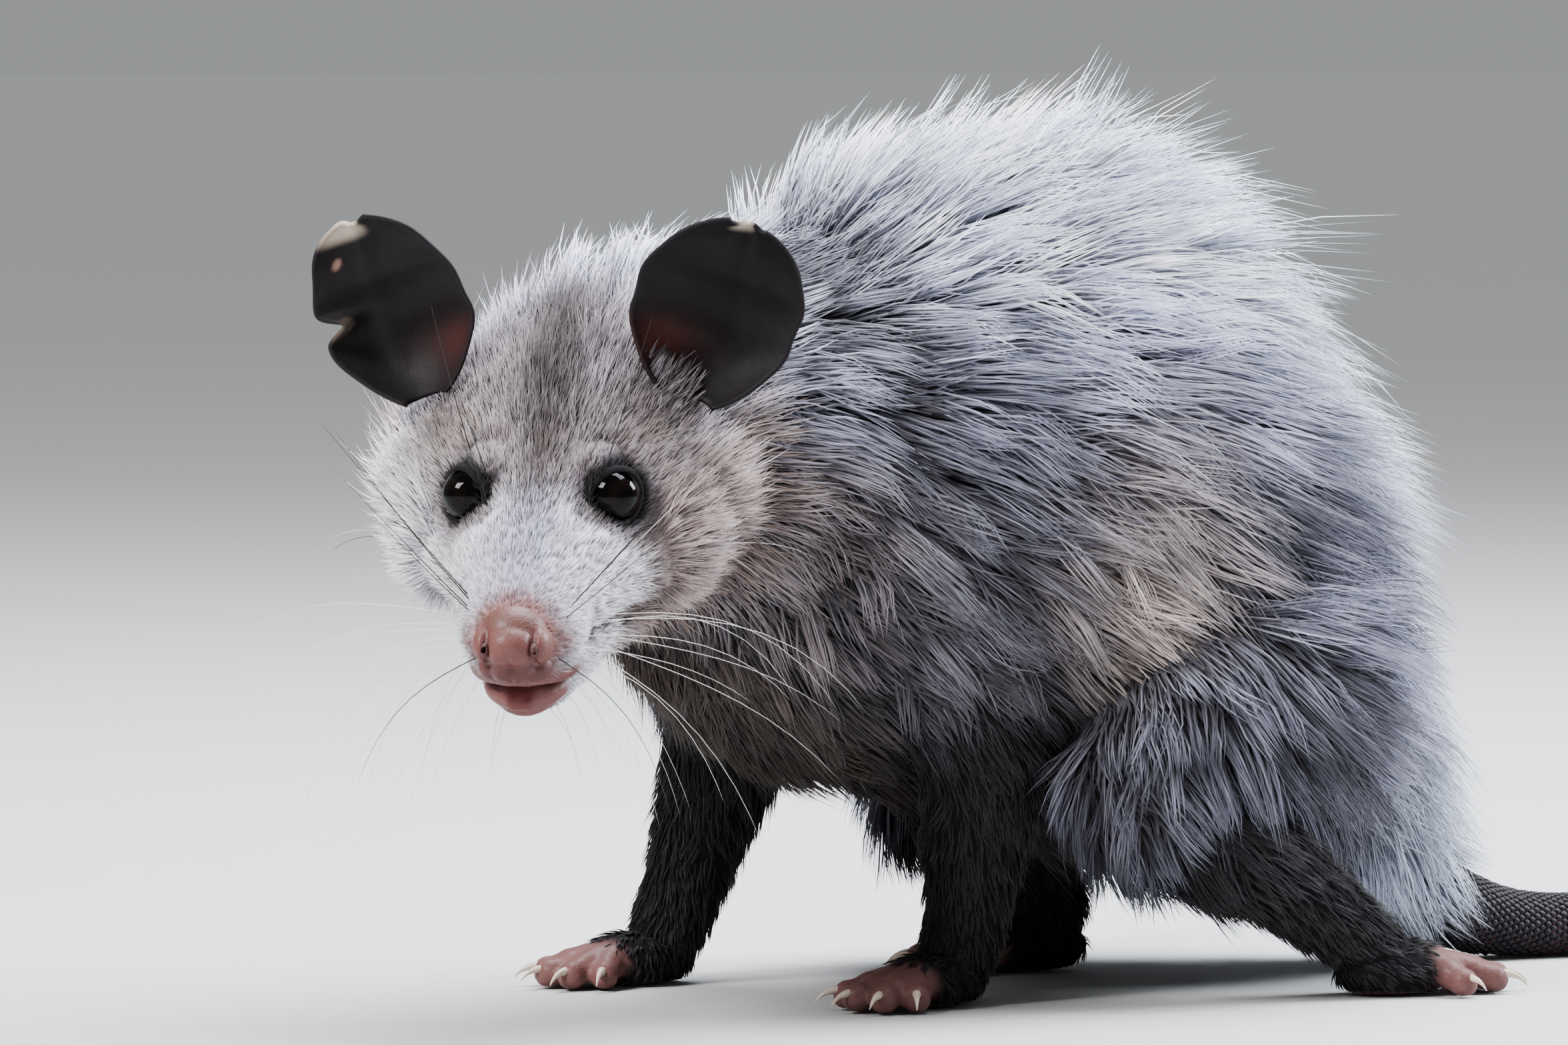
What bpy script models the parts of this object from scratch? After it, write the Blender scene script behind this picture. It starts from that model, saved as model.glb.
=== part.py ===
"""A Virginia opossum at life size, as a still model: it stands hunched on four feet,
its coat raised and its head turned to its left, with the tail lying behind it.

+Z is up, -X is the way the body faces and +Y is the animal's right. The origin is on
the floor, under the middle of the model. Sizes are in metres.
"""

import math

import bmesh
import bpy
import numpy as np
from mathutils import Matrix, Vector

for old in list(bpy.data.objects):
    bpy.data.objects.remove(old, do_unlink=True)

# Driving dimensions
CM = 0.01
GAP = 0.0003  # clearance between neighbouring pieces
CORE_DEPTH = 0.9 * CM  # undercoat that the locks of the trunk stand on
NECK_CORE_DEPTH = 0.6 * CM
THIGH_CORE_DEPTH = 0.7 * CM
SHORT_COAT = 0.15 * CM  # the velvet of face and legs
LOCK_LENGTH = 5.4 * CM
LOCK_WIDTH = 2.4 * CM
ROOT_DEPTH = 0.55 * CM  # how far a lock's root is sunk in its core
HEAD_TURN = math.radians(53.5)  # from straight ahead towards the animal's left
HEAD_PITCH = math.radians(20.0)  # muzzle below the level
EYE_MIDPOINT = Vector((-16.76, -6.06, 13.1)) * CM
EYE_SPREAD = 1.72 * CM  # from the midline to each eye's centre
EYE_RADIUS = 0.66 * CM
LID_RADIUS = 0.60 * CM
LID_THICKNESS = 0.15 * CM
LID_FACING = (0.60, 0.78, 0.18)  # out of the left eye, in the head's own frame
LID_OUT = 0.26 * CM  # from the eye's centre to the plane of its lids
NOSE_CENTRE = (4.95, 0.0, -1.75)
NOSE_RADII = Vector((0.62, 0.80, 0.70)) * CM
NOSTRIL_RADIUS = 0.17 * CM
NOSTRIL_PLACES = ((0.46, 0.40), (0.2, 0.68))  # ahead of and beside the nose's centre
EAR_BASES = {"left": (-3.5, 3.1, 1.05), "right": (-3.5, 3.4, 1.05)}
EAR_AXIS = (-0.16, 0.36, 1.0)  # up the left ear, in the head's own frame
EAR_FACING = (0.93, 0.26, 0.22)  # out of its cup
EAR_LENGTH = 4.8 * CM
EAR_HALF_WIDTH = 2.05 * CM
EAR_THICKNESS = 0.14 * CM
EAR_CURL = (84.0, 36.0)  # half its wrap at the foot and in the upper part, degrees
NOTCH_RADIUS = 0.38 * CM
NOTCH_HEIGHT = 0.47  # share of the ear's length
FOREPAW_DIGITS = ((-58, 0.9), (-27, 1.3), (-4, 1.45), (20, 1.35), (46, 0.95))
HINDFOOT_DIGITS = ((-70, 1.0), (-24, 1.35), (-6, 1.5), (12, 1.4), (30, 1.15))
DIGIT_RADIUS = 0.40 * CM
# Ankle x and y, heading in degrees, then the palm's half length, half width, half
# height and distance ahead of the ankle, all in centimetres
FEET = {
    "forepaw_left": (-4.1, -3.6, 196, 1.35, 1.15, 0.72, 0.8),
    "forepaw_right": (-8.1, 4.6, 184, 1.35, 1.15, 0.72, 0.8),
    "hindfoot_left": (6.3, -6.7, -6, 1.7, 1.0, 0.75, 0.7),
    "hindfoot_right": (2.1, 2.6, 176, 1.9, 1.0, 0.75, 0.7),
}
# Reach along a digit, height of its middle in centimetres and share of its radius
DIGIT_ARCH = ((0.0, 0.50, 1.0), (0.45, 0.66, 1.0), (0.8, 0.5, 0.86), (1.0, 0.36, 0.95))
CLAW_ARCH = ((0.0, 0.5, 0.15), (0.62, 0.50, 0.12), (1.0, 0.2, 0.04))
CLAW_LENGTH = 0.6 * CM
FLAT_ANGLE = math.radians(1.0)  # faces this near to one plane are joined
SEED = 7

# Stations of each soft form: centre x, y, z, half width, and reach up and down from
# the centre. Centimetres, from the front or the root.
TRUNK_STATIONS = (
    (-9.4, -0.5, 12.3, 3.5, 4.6, 4.6),
    (-8.0, -0.2, 12.1, 4.4, 6.3, 5.6),
    (-4.2, 0.1, 11.7, 5.1, 8.4, 6.2),
    (-0.4, 0.1, 10.7, 5.7, 9.2, 6.3),
    (3.0, 0.0, 9.0, 5.6, 6.5, 6.0),
    (5.8, 0.0, 6.9, 4.9, 4.5, 4.6),
    (8.2, 0.0, 4.6, 3.5, 2.2, 2.4),
    (9.9, 0.0, 3.2, 1.9, 1.2, 1.5),
)
NECK_STATIONS = (
    (-7.6, -0.2, 13.6, 4.2, 4.9, 5.3),
    (-10.0, -0.5, 14.0, 4.0, 4.3, 4.8),
    (-12.4, -1.6, 14.2, 3.5, 3.5, 4.2),
    (-14.3, -3.4, 13.9, 3.0, 2.8, 3.4),
)
HAUNCH_STATIONS = (
    (6.3, 2.0, 9.6, 2.4, 2.6, 2.6),
    (4.6, 3.3, 8.0, 3.0, 3.7, 3.9),
    (2.0, 4.7, 6.4, 2.6, 3.2, 3.2),
    (-0.3, 5.6, 5.2, 1.7, 1.9, 1.9),
)
FORELEG_STATIONS = {
    "left": (
        (-5.8, -2.6, 11.6, 1.9, 2.5, 2.5),
        (-4.2, -3.5, 8.6, 1.8, 2.1, 2.0),
        (-3.4, -3.7, 6.3, 1.5, 1.6, 1.6),
        (-3.5, -3.6, 3.8, 1.2, 1.25, 1.25),
        (-3.8, -3.6, 1.7, 1.05, 0.95, 1.0),
        (-4.1, -3.6, 0.8, 1.0, 0.9, 0.9),
    ),
    "right": (
        (-7.4, 3.0, 11.6, 1.9, 2.5, 2.5),
        (-6.3, 4.0, 8.6, 1.8, 2.1, 2.0),
        (-6.2, 4.5, 6.3, 1.5, 1.6, 1.6),
        (-6.9, 4.6, 3.8, 1.2, 1.25, 1.25),
        (-7.7, 4.6, 1.7, 1.05, 0.95, 1.0),
        (-8.1, 4.6, 0.8, 1.0, 0.9, 0.9),
    ),
}
SHANK_STATIONS = {
    "left": (
        (1.5, -4.8, 6.2, 1.6, 1.6, 1.7),
        (1.0, -5.4, 5.1, 1.5, 1.5, 1.6),
        (2.4, -6.1, 4.1, 1.4, 1.4, 1.6),
        (4.2, -6.4, 2.8, 1.1, 1.1, 1.2),
        (5.6, -6.6, 1.7, 0.95, 1.0, 1.0),
        (6.5, -6.7, 1.1, 0.9, 0.85, 0.9),
    ),
    "right": (
        (0.8, 4.6, 6.2, 1.6, 1.6, 1.7),
        (0.0, 4.7, 5.0, 1.5, 1.5, 1.6),
        (0.7, 4.2, 3.9, 1.35, 1.4, 1.5),
        (2.0, 3.3, 2.6, 1.1, 1.1, 1.2),
        (2.4, 2.8, 1.6, 0.95, 1.0, 1.0),
        (2.0, 2.6, 1.0, 0.9, 0.85, 0.9),
    ),
}
TAIL_STATIONS = (
    (9.0, 0.0, 3.5, 1.75, 1.7, 1.7),
    (11.3, 0.0, 2.1, 1.25, 1.25, 1.25),
    (14.0, -0.1, 1.0, 0.96, 0.93, 0.96),
    (19.0, -0.8, 0.79, 0.8, 0.8, 0.82),
    (24.0, -2.2, 0.66, 0.68, 0.68, 0.69),
    (29.0, -3.2, 0.54, 0.56, 0.56, 0.57),
    (34.0, -3.0, 0.41, 0.43, 0.43, 0.44),
    (38.0, -1.2, 0.29, 0.30, 0.30, 0.31),
    (40.0, 0.4, 0.2, 0.2, 0.2, 0.21),
)
# The head's own frame has x towards the nose, y to the animal's left and z up from
# the midpoint of the eyes.
SKULL_STATIONS = (
    (4.9, 0.0, -1.85, 0.75, 0.62, 0.7),
    (4.1, 0.0, -1.85, 1.02, 1.0, 1.12),
    (3.0, 0.0, -1.7, 1.38, 1.25, 1.35),
    (1.7, 0.0, -1.45, 1.82, 1.5, 1.65),
    (0.4, 0.0, -1.2, 2.2, 1.85, 1.95),
    (-1.2, 0.0, -1.3, 3.15, 2.65, 2.5),
    (-2.8, 0.0, -1.4, 3.85, 3.3, 2.9),
    (-4.4, 0.0, -1.3, 3.8, 3.45, 3.0),
    (-6.2, 0.0, -1.1, 3.2, 2.9, 2.8),
)
JAW_STATIONS = (
    (3.9, 0.0, -3.62, 0.62, 0.34, 0.42),
    (3.2, 0.0, -3.66, 0.86, 0.42, 0.56),
    (2.0, 0.0, -3.6, 1.15, 0.5, 0.72),
    (0.6, 0.0, -3.5, 1.5, 0.7, 0.85),
    (-1.0, 0.0, -3.3, 2.2, 1.0, 1.0),
    (-2.2, 0.0, -3.0, 2.6, 1.2, 1.2),
)
WHISKER_PAD = ((3.15, 0.78, -1.95), Vector((1.25, 0.72, 0.85)) * CM)
UPPER_LIP = (
    (4.55, 0.12, -2.72, 0.26, 0.26, 0.26),
    (3.9, 0.85, -2.86, 0.28, 0.28, 0.28),
    (2.6, 1.28, -2.98, 0.24, 0.24, 0.24),
    (1.0, 1.70, -2.95, 0.08, 0.08, 0.08),
)
LOWER_LIP = (
    (4.3, 0.1, -3.5, 0.24, 0.24, 0.24),
    (3.8, 0.62, -3.5, 0.24, 0.24, 0.24),
    (2.6, 1.02, -3.4, 0.2, 0.2, 0.2),
    (1.2, 1.36, -3.3, 0.08, 0.08, 0.08),
)
# Locks of the cheek ruff: x, angle below the horizontal, length and width
RUFF = (
    (-0.7, 20, 2.5, 1.6),
    (-0.8, 55, 2.6, 1.6),
    (-2.3, -6, 3.3, 1.8),
    (-2.4, 26, 3.5, 1.9),
    (-2.4, 62, 3.2, 1.8),
    (-4.2, 8, 3.4, 1.9),
    (-4.2, 44, 3.4, 1.9),
)
RUFF_LIFT = 34  # degrees off the cheek
SPLIT_SHARES = (0.40, 0.70)  # shoulders, back and rump meet at these shares of the trunk
TRUNK_TIERS = 7
TRUNK_TIER_SHARES = (0.10, 0.94)
TRUNK_TIER_ANGLES = (-28, 208)  # the back and both flanks; 90 is the midline on top
CHEST_SHARE, CHEST_ANGLES = 0.03, (-150, -120, -90, -60, -30)
BELLY_SHARES, BELLY_ANGLES = (0.16, 0.30, 0.46, 0.62), (-122, -90, -58)
# Share of the thigh, number of locks, and weights of along and down in their lie
THIGH_TIERS = (
    (0.28, 3, (-0.55, 0.75)),
    (0.52, 4, (-0.55, 0.75)),
    (0.80, 4, (-0.6, 0.7)),
)
KNEE_BULGE = 0.22  # of its radius
KNEE_ANGLES = (-70, -25, 20, 65)
NECK_TIER_SHARES = (0.30, 0.60)
NECK_LOCKS = 9
TAIL_SPLITS = (0.24, 0.62)  # black base, slate middle and pale tip

UP = Vector((0.0, 0.0, 1.0))
AHEAD = Vector((-1.0, 0.0, 0.0))
rng = np.random.default_rng(SEED)

model = bpy.data.collections.new("opossum")
cutters = bpy.data.collections.new("cutters")
bpy.context.scene.collection.children.link(model)
bpy.context.scene.collection.children.link(cutters)


def finish(name, colour, roughness):
    material = bpy.data.materials.new(name)
    material.use_nodes = True
    shader = material.node_tree.nodes["Principled BSDF"]
    shader.inputs["Base Color"].default_value = (*colour, 1.0)
    shader.inputs["Roughness"].default_value = roughness
    shader.inputs["Metallic"].default_value = 0.0
    return material


GREY_COAT = finish("grey coat", (0.52, 0.50, 0.52), 0.9)
FACE_FUR = finish("face fur", (0.80, 0.77, 0.77), 0.9)
LEG_FUR = finish("black leg fur", (0.03, 0.028, 0.032), 0.85)
BARE_PINK = finish("bare pink skin", (0.72, 0.42, 0.38), 0.45)
EAR_SKIN = finish("black ear skin", (0.025, 0.02, 0.022), 0.5)
EYE_GLOSS = finish("dark eye", (0.008, 0.007, 0.008), 0.05)
TAIL_SKIN = finish("dark tail skin", (0.06, 0.05, 0.055), 0.7)
TAIL_PINK = finish("pale tail skin", (0.62, 0.48, 0.44), 0.6)

# The head's own frame, carried to its place
head_ahead = Vector((-math.cos(HEAD_TURN), -math.sin(HEAD_TURN), 0.0))
head_left = Vector((math.sin(HEAD_TURN), -math.cos(HEAD_TURN), 0.0))
muzzle = head_ahead * math.cos(HEAD_PITCH) - UP * math.sin(HEAD_PITCH)
crown = head_ahead * math.sin(HEAD_PITCH) + UP * math.cos(HEAD_PITCH)
HEAD_AXES = Matrix((muzzle, head_left, crown)).transposed()
HEAD_POSE = Matrix.Translation(EYE_MIDPOINT) @ HEAD_AXES.to_4x4()


def on_head(x, y, z):
    return HEAD_POSE @ (Vector((x, y, z)) * CM)


def eased(rows, count):
    """Rows read at even steps from a cubic through the given ones."""
    rows = np.asarray(rows, float)
    steps = np.linalg.norm(np.diff(rows[:, :3], axis=0), axis=1)
    at = np.concatenate([[0.0], np.cumsum(steps)])
    slope = np.gradient(rows, at, axis=0)
    wanted = np.linspace(0.0, at[-1], count)
    left = np.clip(np.searchsorted(at, wanted, side="right") - 1, 0, len(at) - 2)
    span = (at[left + 1] - at[left])[:, None]
    t = ((wanted - at[left]) / span[:, 0])[:, None]
    return (
        (2 * t**3 - 3 * t**2 + 1) * rows[left]
        + (t**3 - 2 * t**2 + t) * span * slope[left]
        + (3 * t**2 - 2 * t**3) * rows[left + 1]
        + (t**3 - t**2) * span * slope[left + 1]
    )


class Form:
    """A rounded body along a path of stations, a loft between unlike ovals."""

    def __init__(self, stations, hint=UP, grow=0.0, pose=None, samples=64):
        rows = eased(np.array(stations) * CM, samples)
        self.centre = rows[:, :3]
        self.reach = rows[:, 3:6] + grow
        self.along = np.gradient(self.centre, axis=0)
        self.along /= np.linalg.norm(self.along, axis=1)[:, None]
        self.side = np.cross(self.along, np.array(hint))
        self.side /= np.linalg.norm(self.side, axis=1)[:, None]
        self.rise = np.cross(self.side, self.along)
        self.length = float(np.linalg.norm(np.diff(self.centre, axis=0), axis=1).sum())
        if pose is not None:
            turn = np.array(pose.to_3x3())
            self.centre = self.centre @ turn.T + np.array(pose.translation)
            self.along = self.along @ turn.T
            self.side = self.side @ turn.T
            self.rise = self.rise @ turn.T

    def at(self, values, share):
        last = len(values) - 1
        place = min(max(share, 0.0), 1.0) * last
        low = min(int(place), last - 1)
        return values[low] + (values[low + 1] - values[low]) * (place - low)

    def point(self, share, angle, scale=1.0):
        wide, high, low = self.at(self.reach, share) * scale
        tall = high if math.sin(angle) >= 0 else low
        return (
            self.at(self.centre, share)
            + self.at(self.side, share) * wide * math.cos(angle)
            + self.at(self.rise, share) * tall * math.sin(angle)
        )

    def normal(self, share, angle):
        step = 0.02
        around = self.point(share, angle + step) - self.point(share, angle - step)
        ahead = self.point(share + step, angle) - self.point(share - step, angle)
        out = np.cross(around, ahead)
        out /= np.linalg.norm(out)
        middle = self.at(self.centre, share)
        return out if out @ (self.point(share, angle) - middle) > 0 else -out

    def mesh(
        self, name, material, rings, sides, first=0.0, last=1.0, ends=(0.6, 0.6), dome_steps=3
    ):
        """The closed length between two shares; an end bulge of 0 leaves it flat."""
        rows = []
        for k in range(dome_steps - 1, 0, -1):
            turn = math.pi / 2 * k / dome_steps
            rows.append((first, math.cos(turn), -ends[0] * math.sin(turn)))
        if not ends[0]:
            rows = []
        for i in range(rings):
            rows.append((first + (last - first) * i / (rings - 1), 1.0, 0.0))
        for k in range(1, dome_steps if ends[1] else 1):
            turn = math.pi / 2 * k / dome_steps
            rows.append((last, math.cos(turn), ends[1] * math.sin(turn)))
        points = []
        for share, scale, push in rows:
            radius = self.at(self.reach, share).mean()
            shift = self.at(self.along, share) * push * radius
            for k in range(sides):
                points.append(self.point(share, 2 * math.pi * k / sides, scale) + shift)
        for share, bulge in ((first, -ends[0]), (last, ends[1])):
            radius = self.at(self.reach, share).mean()
            points.append(
                self.at(self.centre, share) + self.at(self.along, share) * bulge * radius
            )
        faces = []
        for i in range(len(rows) - 1):
            for k in range(sides):
                a, b = i * sides + k, i * sides + (k + 1) % sides
                faces.append((a, b, b + sides, a + sides))
        start, near, far = (len(rows) - 1) * sides, len(rows) * sides, len(rows) * sides + 1
        for k in range(sides):
            faces.append((near, (k + 1) % sides, k))
            faces.append((far, start + k, start + (k + 1) % sides))
        return solid(name, points, faces, material)


def placed(mesh, name, material=None):
    """An object for a mesh: a model piece if it has a material, else a cutter."""
    made = bpy.data.objects.new(name, mesh)
    if material is None:
        made.display_type = "WIRE"
        made.hide_render = True
        cutters.objects.link(made)
    else:
        mesh.materials.append(material)
        model.objects.link(made)
    return made


def closed(work, name, material=None):
    """A working mesh, triangulated with its faces outwards, as an object."""
    bmesh.ops.recalc_face_normals(work, faces=work.faces)
    if work.calc_volume(signed=True) < 0:
        bmesh.ops.reverse_faces(work, faces=work.faces)
    bmesh.ops.triangulate(work, faces=work.faces)
    mesh = bpy.data.meshes.new(name)
    work.to_mesh(mesh)
    work.free()
    return placed(mesh, name, material)


def solid(name, points, faces, material=None):
    """A closed loft from its points and faces."""
    mesh = bpy.data.meshes.new(name)
    mesh.from_pydata([tuple(map(float, p)) for p in points], [], faces)
    work = bmesh.new()
    work.from_mesh(mesh)
    bpy.data.meshes.remove(mesh)
    return closed(work, name, material)


def ball(name, centre, radii, material=None, turn=None, rings=8, around=14):
    """An ellipsoid with its own half sizes, turned by the given axes."""
    work = bmesh.new()
    bmesh.ops.create_uvsphere(work, u_segments=around, v_segments=rings, radius=1.0)
    place = Matrix.Diagonal((*radii, 1.0))
    if turn is not None:
        place = turn.to_4x4() @ place
    work.transform(Matrix.Translation(Vector(centre)) @ place)
    return closed(work, name, material)


def block(name, middle, half_sizes):
    """A box used as a cutter."""
    work = bmesh.new()
    bmesh.ops.create_cube(work, size=2.0)
    work.transform(Matrix.Translation(Vector(middle)) @ Matrix.Diagonal((*half_sizes, 1.0)))
    return closed(work, name)


def remove(objects):
    for done in objects:
        bpy.data.objects.remove(done, do_unlink=True)


def combine(target, operation, others):
    """Applies one Boolean of the target with a collection of closed meshes."""
    if not others:
        return
    group = bpy.data.collections.new("operands")
    bpy.context.scene.collection.children.link(group)
    for other in others:
        group.objects.link(other)
    modifier = target.modifiers.new(operation.lower(), "BOOLEAN")
    modifier.operation = operation
    modifier.solver = "MANIFOLD"
    modifier.operand_type = "COLLECTION"
    modifier.collection = group
    graph = bpy.context.evaluated_depsgraph_get()
    made = bpy.data.meshes.new_from_object(target.evaluated_get(graph))
    target.modifiers.remove(modifier)
    before = target.data
    materials = list(before.materials)
    target.data = made
    made.materials.clear()
    for material in materials:
        made.materials.append(material)
    bpy.data.meshes.remove(before)
    for other in others:
        group.objects.unlink(other)
    bpy.data.collections.remove(group)


def largest_only(target):
    """Keeps the closed surface that encloses the most and drops the rest."""
    work = bmesh.new()
    work.from_mesh(target.data)
    work.faces.ensure_lookup_table()
    seen, shells = set(), []
    for start in work.faces:
        if start.index in seen:
            continue
        seen.add(start.index)
        stack, shell, volume = [start], [], 0.0
        while stack:
            face = stack.pop()
            shell.append(face)
            corners = [v.co for v in face.verts]
            for k in range(1, len(corners) - 1):
                volume += corners[0].dot(corners[k].cross(corners[k + 1]))
            for edge in face.edges:
                for other in edge.link_faces:
                    if other.index not in seen:
                        seen.add(other.index)
                        stack.append(other)
        shells.append((volume, shell))
    shells.sort(key=lambda item: item[0])
    spare = {v for _, shell in shells[:-1] for face in shell for v in face.verts}
    bmesh.ops.delete(work, geom=list(spare), context="VERTS")
    bmesh.ops.dissolve_limit(
        work, angle_limit=FLAT_ANGLE, verts=work.verts, edges=work.edges, delimit=set()
    )
    bmesh.ops.triangulate(work, faces=work.faces)
    work.to_mesh(target.data)
    work.free()


def swollen(source):
    """A cutter: a smooth closed piece with its surface moved out by the gap."""
    made = placed(source.data.copy(), source.name + "_clearance")
    work = bmesh.new()
    work.from_mesh(made.data)
    work.normal_update()
    for vertex in work.verts:
        vertex.co += vertex.normal * GAP * 1.3
    work.to_mesh(made.data)
    work.free()
    return made


# Locks of the coat


class Lock:
    """A flat tapered lock, rooted under the surface and bending along its lie."""

    def __init__(self, root, normal, lie, length, width, lift, droop):
        self.normal = Vector(normal).normalized()
        lie = Vector(lie)
        self.lie = (lie - self.normal * lie.dot(self.normal)).normalized()
        self.start = Vector(root) - self.normal * ROOT_DEPTH
        self.length, self.width, self.lift, self.droop = length, width, lift, droop

    def centre(self, share):
        rise = math.sin(self.lift) * share - self.droop * share**2
        forward = self.lie * (math.cos(self.lift) * share)
        return self.start + (forward + self.normal * rise) * self.length

    def mesh(self, spare=0.0):
        """The lock as a cutter, wider on every side by the spare."""
        across = self.normal.cross(self.lie)
        points = []
        sections = ((0.0, 0.7, 0.26), (0.3, 1.0, 0.24), (0.66, 0.78, 0.17))
        for share, wide, deep in sections:
            place = self.centre(share)
            half = across * (self.width * wide / 2 + 3 * spare)
            thick = self.width * deep
            points += [
                place - half - self.normal * spare * 1.5,
                place + self.normal * (thick + spare * 2),
                place + half - self.normal * spare * 1.5,
            ]
        heading = (self.centre(1.0) - self.centre(0.9)).normalized()
        points.append(self.centre(1.0) + heading * spare * 6)
        faces = [(0, 1, 2)]
        last = 3 * (len(sections) - 1)
        for i in range(len(sections) - 1):
            for k in range(3):
                a, b = 3 * i + k, 3 * i + (k + 1) % 3
                faces.append((a, b, b + 3, a + 3))
        for k in range(3):
            faces.append((last + 3, last + k, last + (k + 1) % 3))
        return solid("lock", points, faces)


def tier(form, share, angles, length, width, lift, droop, sweep):
    """Locks round a form at one share; sweep weighs its path against straight down."""
    made = []
    for angle in angles:
        place = min(max(share + rng.uniform(-0.014, 0.014), 0.02), 0.98)
        turn = math.radians(angle + rng.uniform(-4.0, 4.0))
        lie = np.array(form.at(form.along, place)) * sweep[0]
        lie = lie + np.array((0.0, 0.0, -1.0)) * sweep[1] + rng.normal(0.0, 0.1, 3)
        made.append(
            Lock(
                form.point(place, turn),
                form.normal(place, turn),
                lie,
                length * rng.uniform(0.88, 1.08),
                width * rng.uniform(0.88, 1.1),
                math.radians(lift) * rng.uniform(0.85, 1.1),
                droop,
            )
        )
    return made


def knee_locks(form, angles):
    """Short locks on the rounded end of a thigh, hanging down and back over it."""
    made = []
    ahead = form.along[-1]
    for angle in angles:
        out = form.point(1.0, math.radians(angle)) - form.centre[-1]
        root = form.centre[-1] + out * 0.8 + ahead * np.linalg.norm(out) * KNEE_BULGE * 0.5
        normal = out / np.linalg.norm(out) + ahead * 0.9
        lie = np.array((0.35, 0.0, -1.0)) + rng.normal(0.0, 0.1, 3)
        lift = math.radians(22)
        made.append(
            Lock(root, normal, lie, LOCK_LENGTH * 0.62, LOCK_WIDTH * 0.9, lift, 0.12)
        )
    return made


def spread(low, high, count, shifted):
    """Angles spread evenly, half a step further on every other tier."""
    step = (high - low) / count
    return [low + step * (k + (0.75 if shifted else 0.25)) for k in range(count)]


def inside(form, place, margin):
    """Whether a place is deeper than the margin inside a form."""
    place = np.array(place)
    nearest = int(np.argmin(np.linalg.norm(form.centre - place, axis=1)))
    offset = place - form.centre[nearest]
    wide, high, low = form.reach[nearest] - margin
    across, along = offset @ form.side[nearest], offset @ form.along[nearest]
    rise = offset @ form.rise[nearest]
    tall = high if rise > 0 else low
    return (across / wide) ** 2 + (rise / tall) ** 2 + (along / wide) ** 2 < 1.0


def mirrored(stations):
    """The same stations on the animal's left."""
    return tuple((x, -y, z, *rest) for x, y, z, *rest in stations)


trunk = Form(TRUNK_STATIONS, grow=CORE_DEPTH)
neck = Form(NECK_STATIONS, grow=NECK_CORE_DEPTH)
skull = Form(SKULL_STATIONS, grow=SHORT_COAT, pose=HEAD_POSE)
haunch = {
    "right": Form(HAUNCH_STATIONS, grow=THIGH_CORE_DEPTH),
    "left": Form(mirrored(HAUNCH_STATIONS), grow=THIGH_CORE_DEPTH),
}
legs = {
    side: Form(rows, hint=AHEAD, grow=SHORT_COAT)
    for side, rows in FORELEG_STATIONS.items()
}
shanks = {side: Form(rows, grow=SHORT_COAT) for side, rows in SHANK_STATIONS.items()}
tail = Form(TAIL_STATIONS)

locks = {name: [] for name in ("head", "neck", "shoulders", "back", "rump")}
locks["thigh_left"], locks["thigh_right"] = [], []


def length_at(share):
    """The length of the trunk that holds a share."""
    if share < SPLIT_SHARES[0]:
        return "shoulders"
    return "back" if share < SPLIT_SHARES[1] else "rump"


# Trunk: tiers from the shoulders to the rump, steep on the back and flat on the flank
tier_angles = [math.radians(angle) for angle in TRUNK_TIER_ANGLES]
for number in range(TRUNK_TIERS):
    share = float(np.interp(number, (0, TRUNK_TIERS - 1), TRUNK_TIER_SHARES))
    name = length_at(share)
    girth = float(trunk.at(trunk.reach, share).mean()) * (tier_angles[1] - tier_angles[0])
    count = max(6, round(girth / (LOCK_WIDTH * 1.08)))
    rear = max(0.0, (share - 0.55) / 0.45)
    for angle in spread(*TRUNK_TIER_ANGLES, count, number % 2):
        height = max(0.0, math.sin(math.radians(angle)))
        hunch = math.sin(math.pi * share)
        lift = 20 + 19 * height * hunch
        length = LOCK_LENGTH * (0.84 + 0.16 * height * hunch) * (1 - 0.25 * rear)
        for made in tier(
            trunk, share, (angle,), length, LOCK_WIDTH, lift, 0.16 + 0.05 * rear, (1.0, 0.3)
        ):
            hidden = [inside(form, made.start, 0.4 * CM) for form in haunch.values()]
            if not any(hidden):
                locks[name].append(made)

# Chest and belly: shorter locks, hanging in front and lying back underneath
locks["shoulders"] += tier(
    trunk, CHEST_SHARE, CHEST_ANGLES, LOCK_LENGTH * 0.66, LOCK_WIDTH, 16, 0.05, (0.35, 1.0)
)
for share in BELLY_SHARES:
    locks[length_at(share)] += tier(
        trunk, share, BELLY_ANGLES, LOCK_LENGTH * 0.72, LOCK_WIDTH, 20, 0.1, (1.0, 0.0)
    )
# Thighs: tiers on the outer side that lie down and back, the last one on the knee
for side, form in haunch.items():
    outer = (-75, 75) if side == "right" else (105, 255)
    for share, count, sweep in THIGH_TIERS:
        locks[f"thigh_{side}"] += tier(
            form,
            share,
            spread(*outer, count, share > 0.5),
            LOCK_LENGTH * 0.78,
            LOCK_WIDTH * 0.95,
            24,
            0.16,
            sweep,
        )
    turned = KNEE_ANGLES if side == "right" else [180 - angle for angle in KNEE_ANGLES]
    locks[f"thigh_{side}"] += knee_locks(form, turned)

# Neck: two tiers all round that stand clear of the shoulders
for number, share in enumerate(NECK_TIER_SHARES):
    locks["neck"] += tier(
        neck,
        share,
        spread(-100, 260, NECK_LOCKS, number % 2),
        LOCK_LENGTH * 0.8,
        LOCK_WIDTH * 0.95,
        37,
        0.12,
        (-1.0, 0.2),
    )

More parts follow.
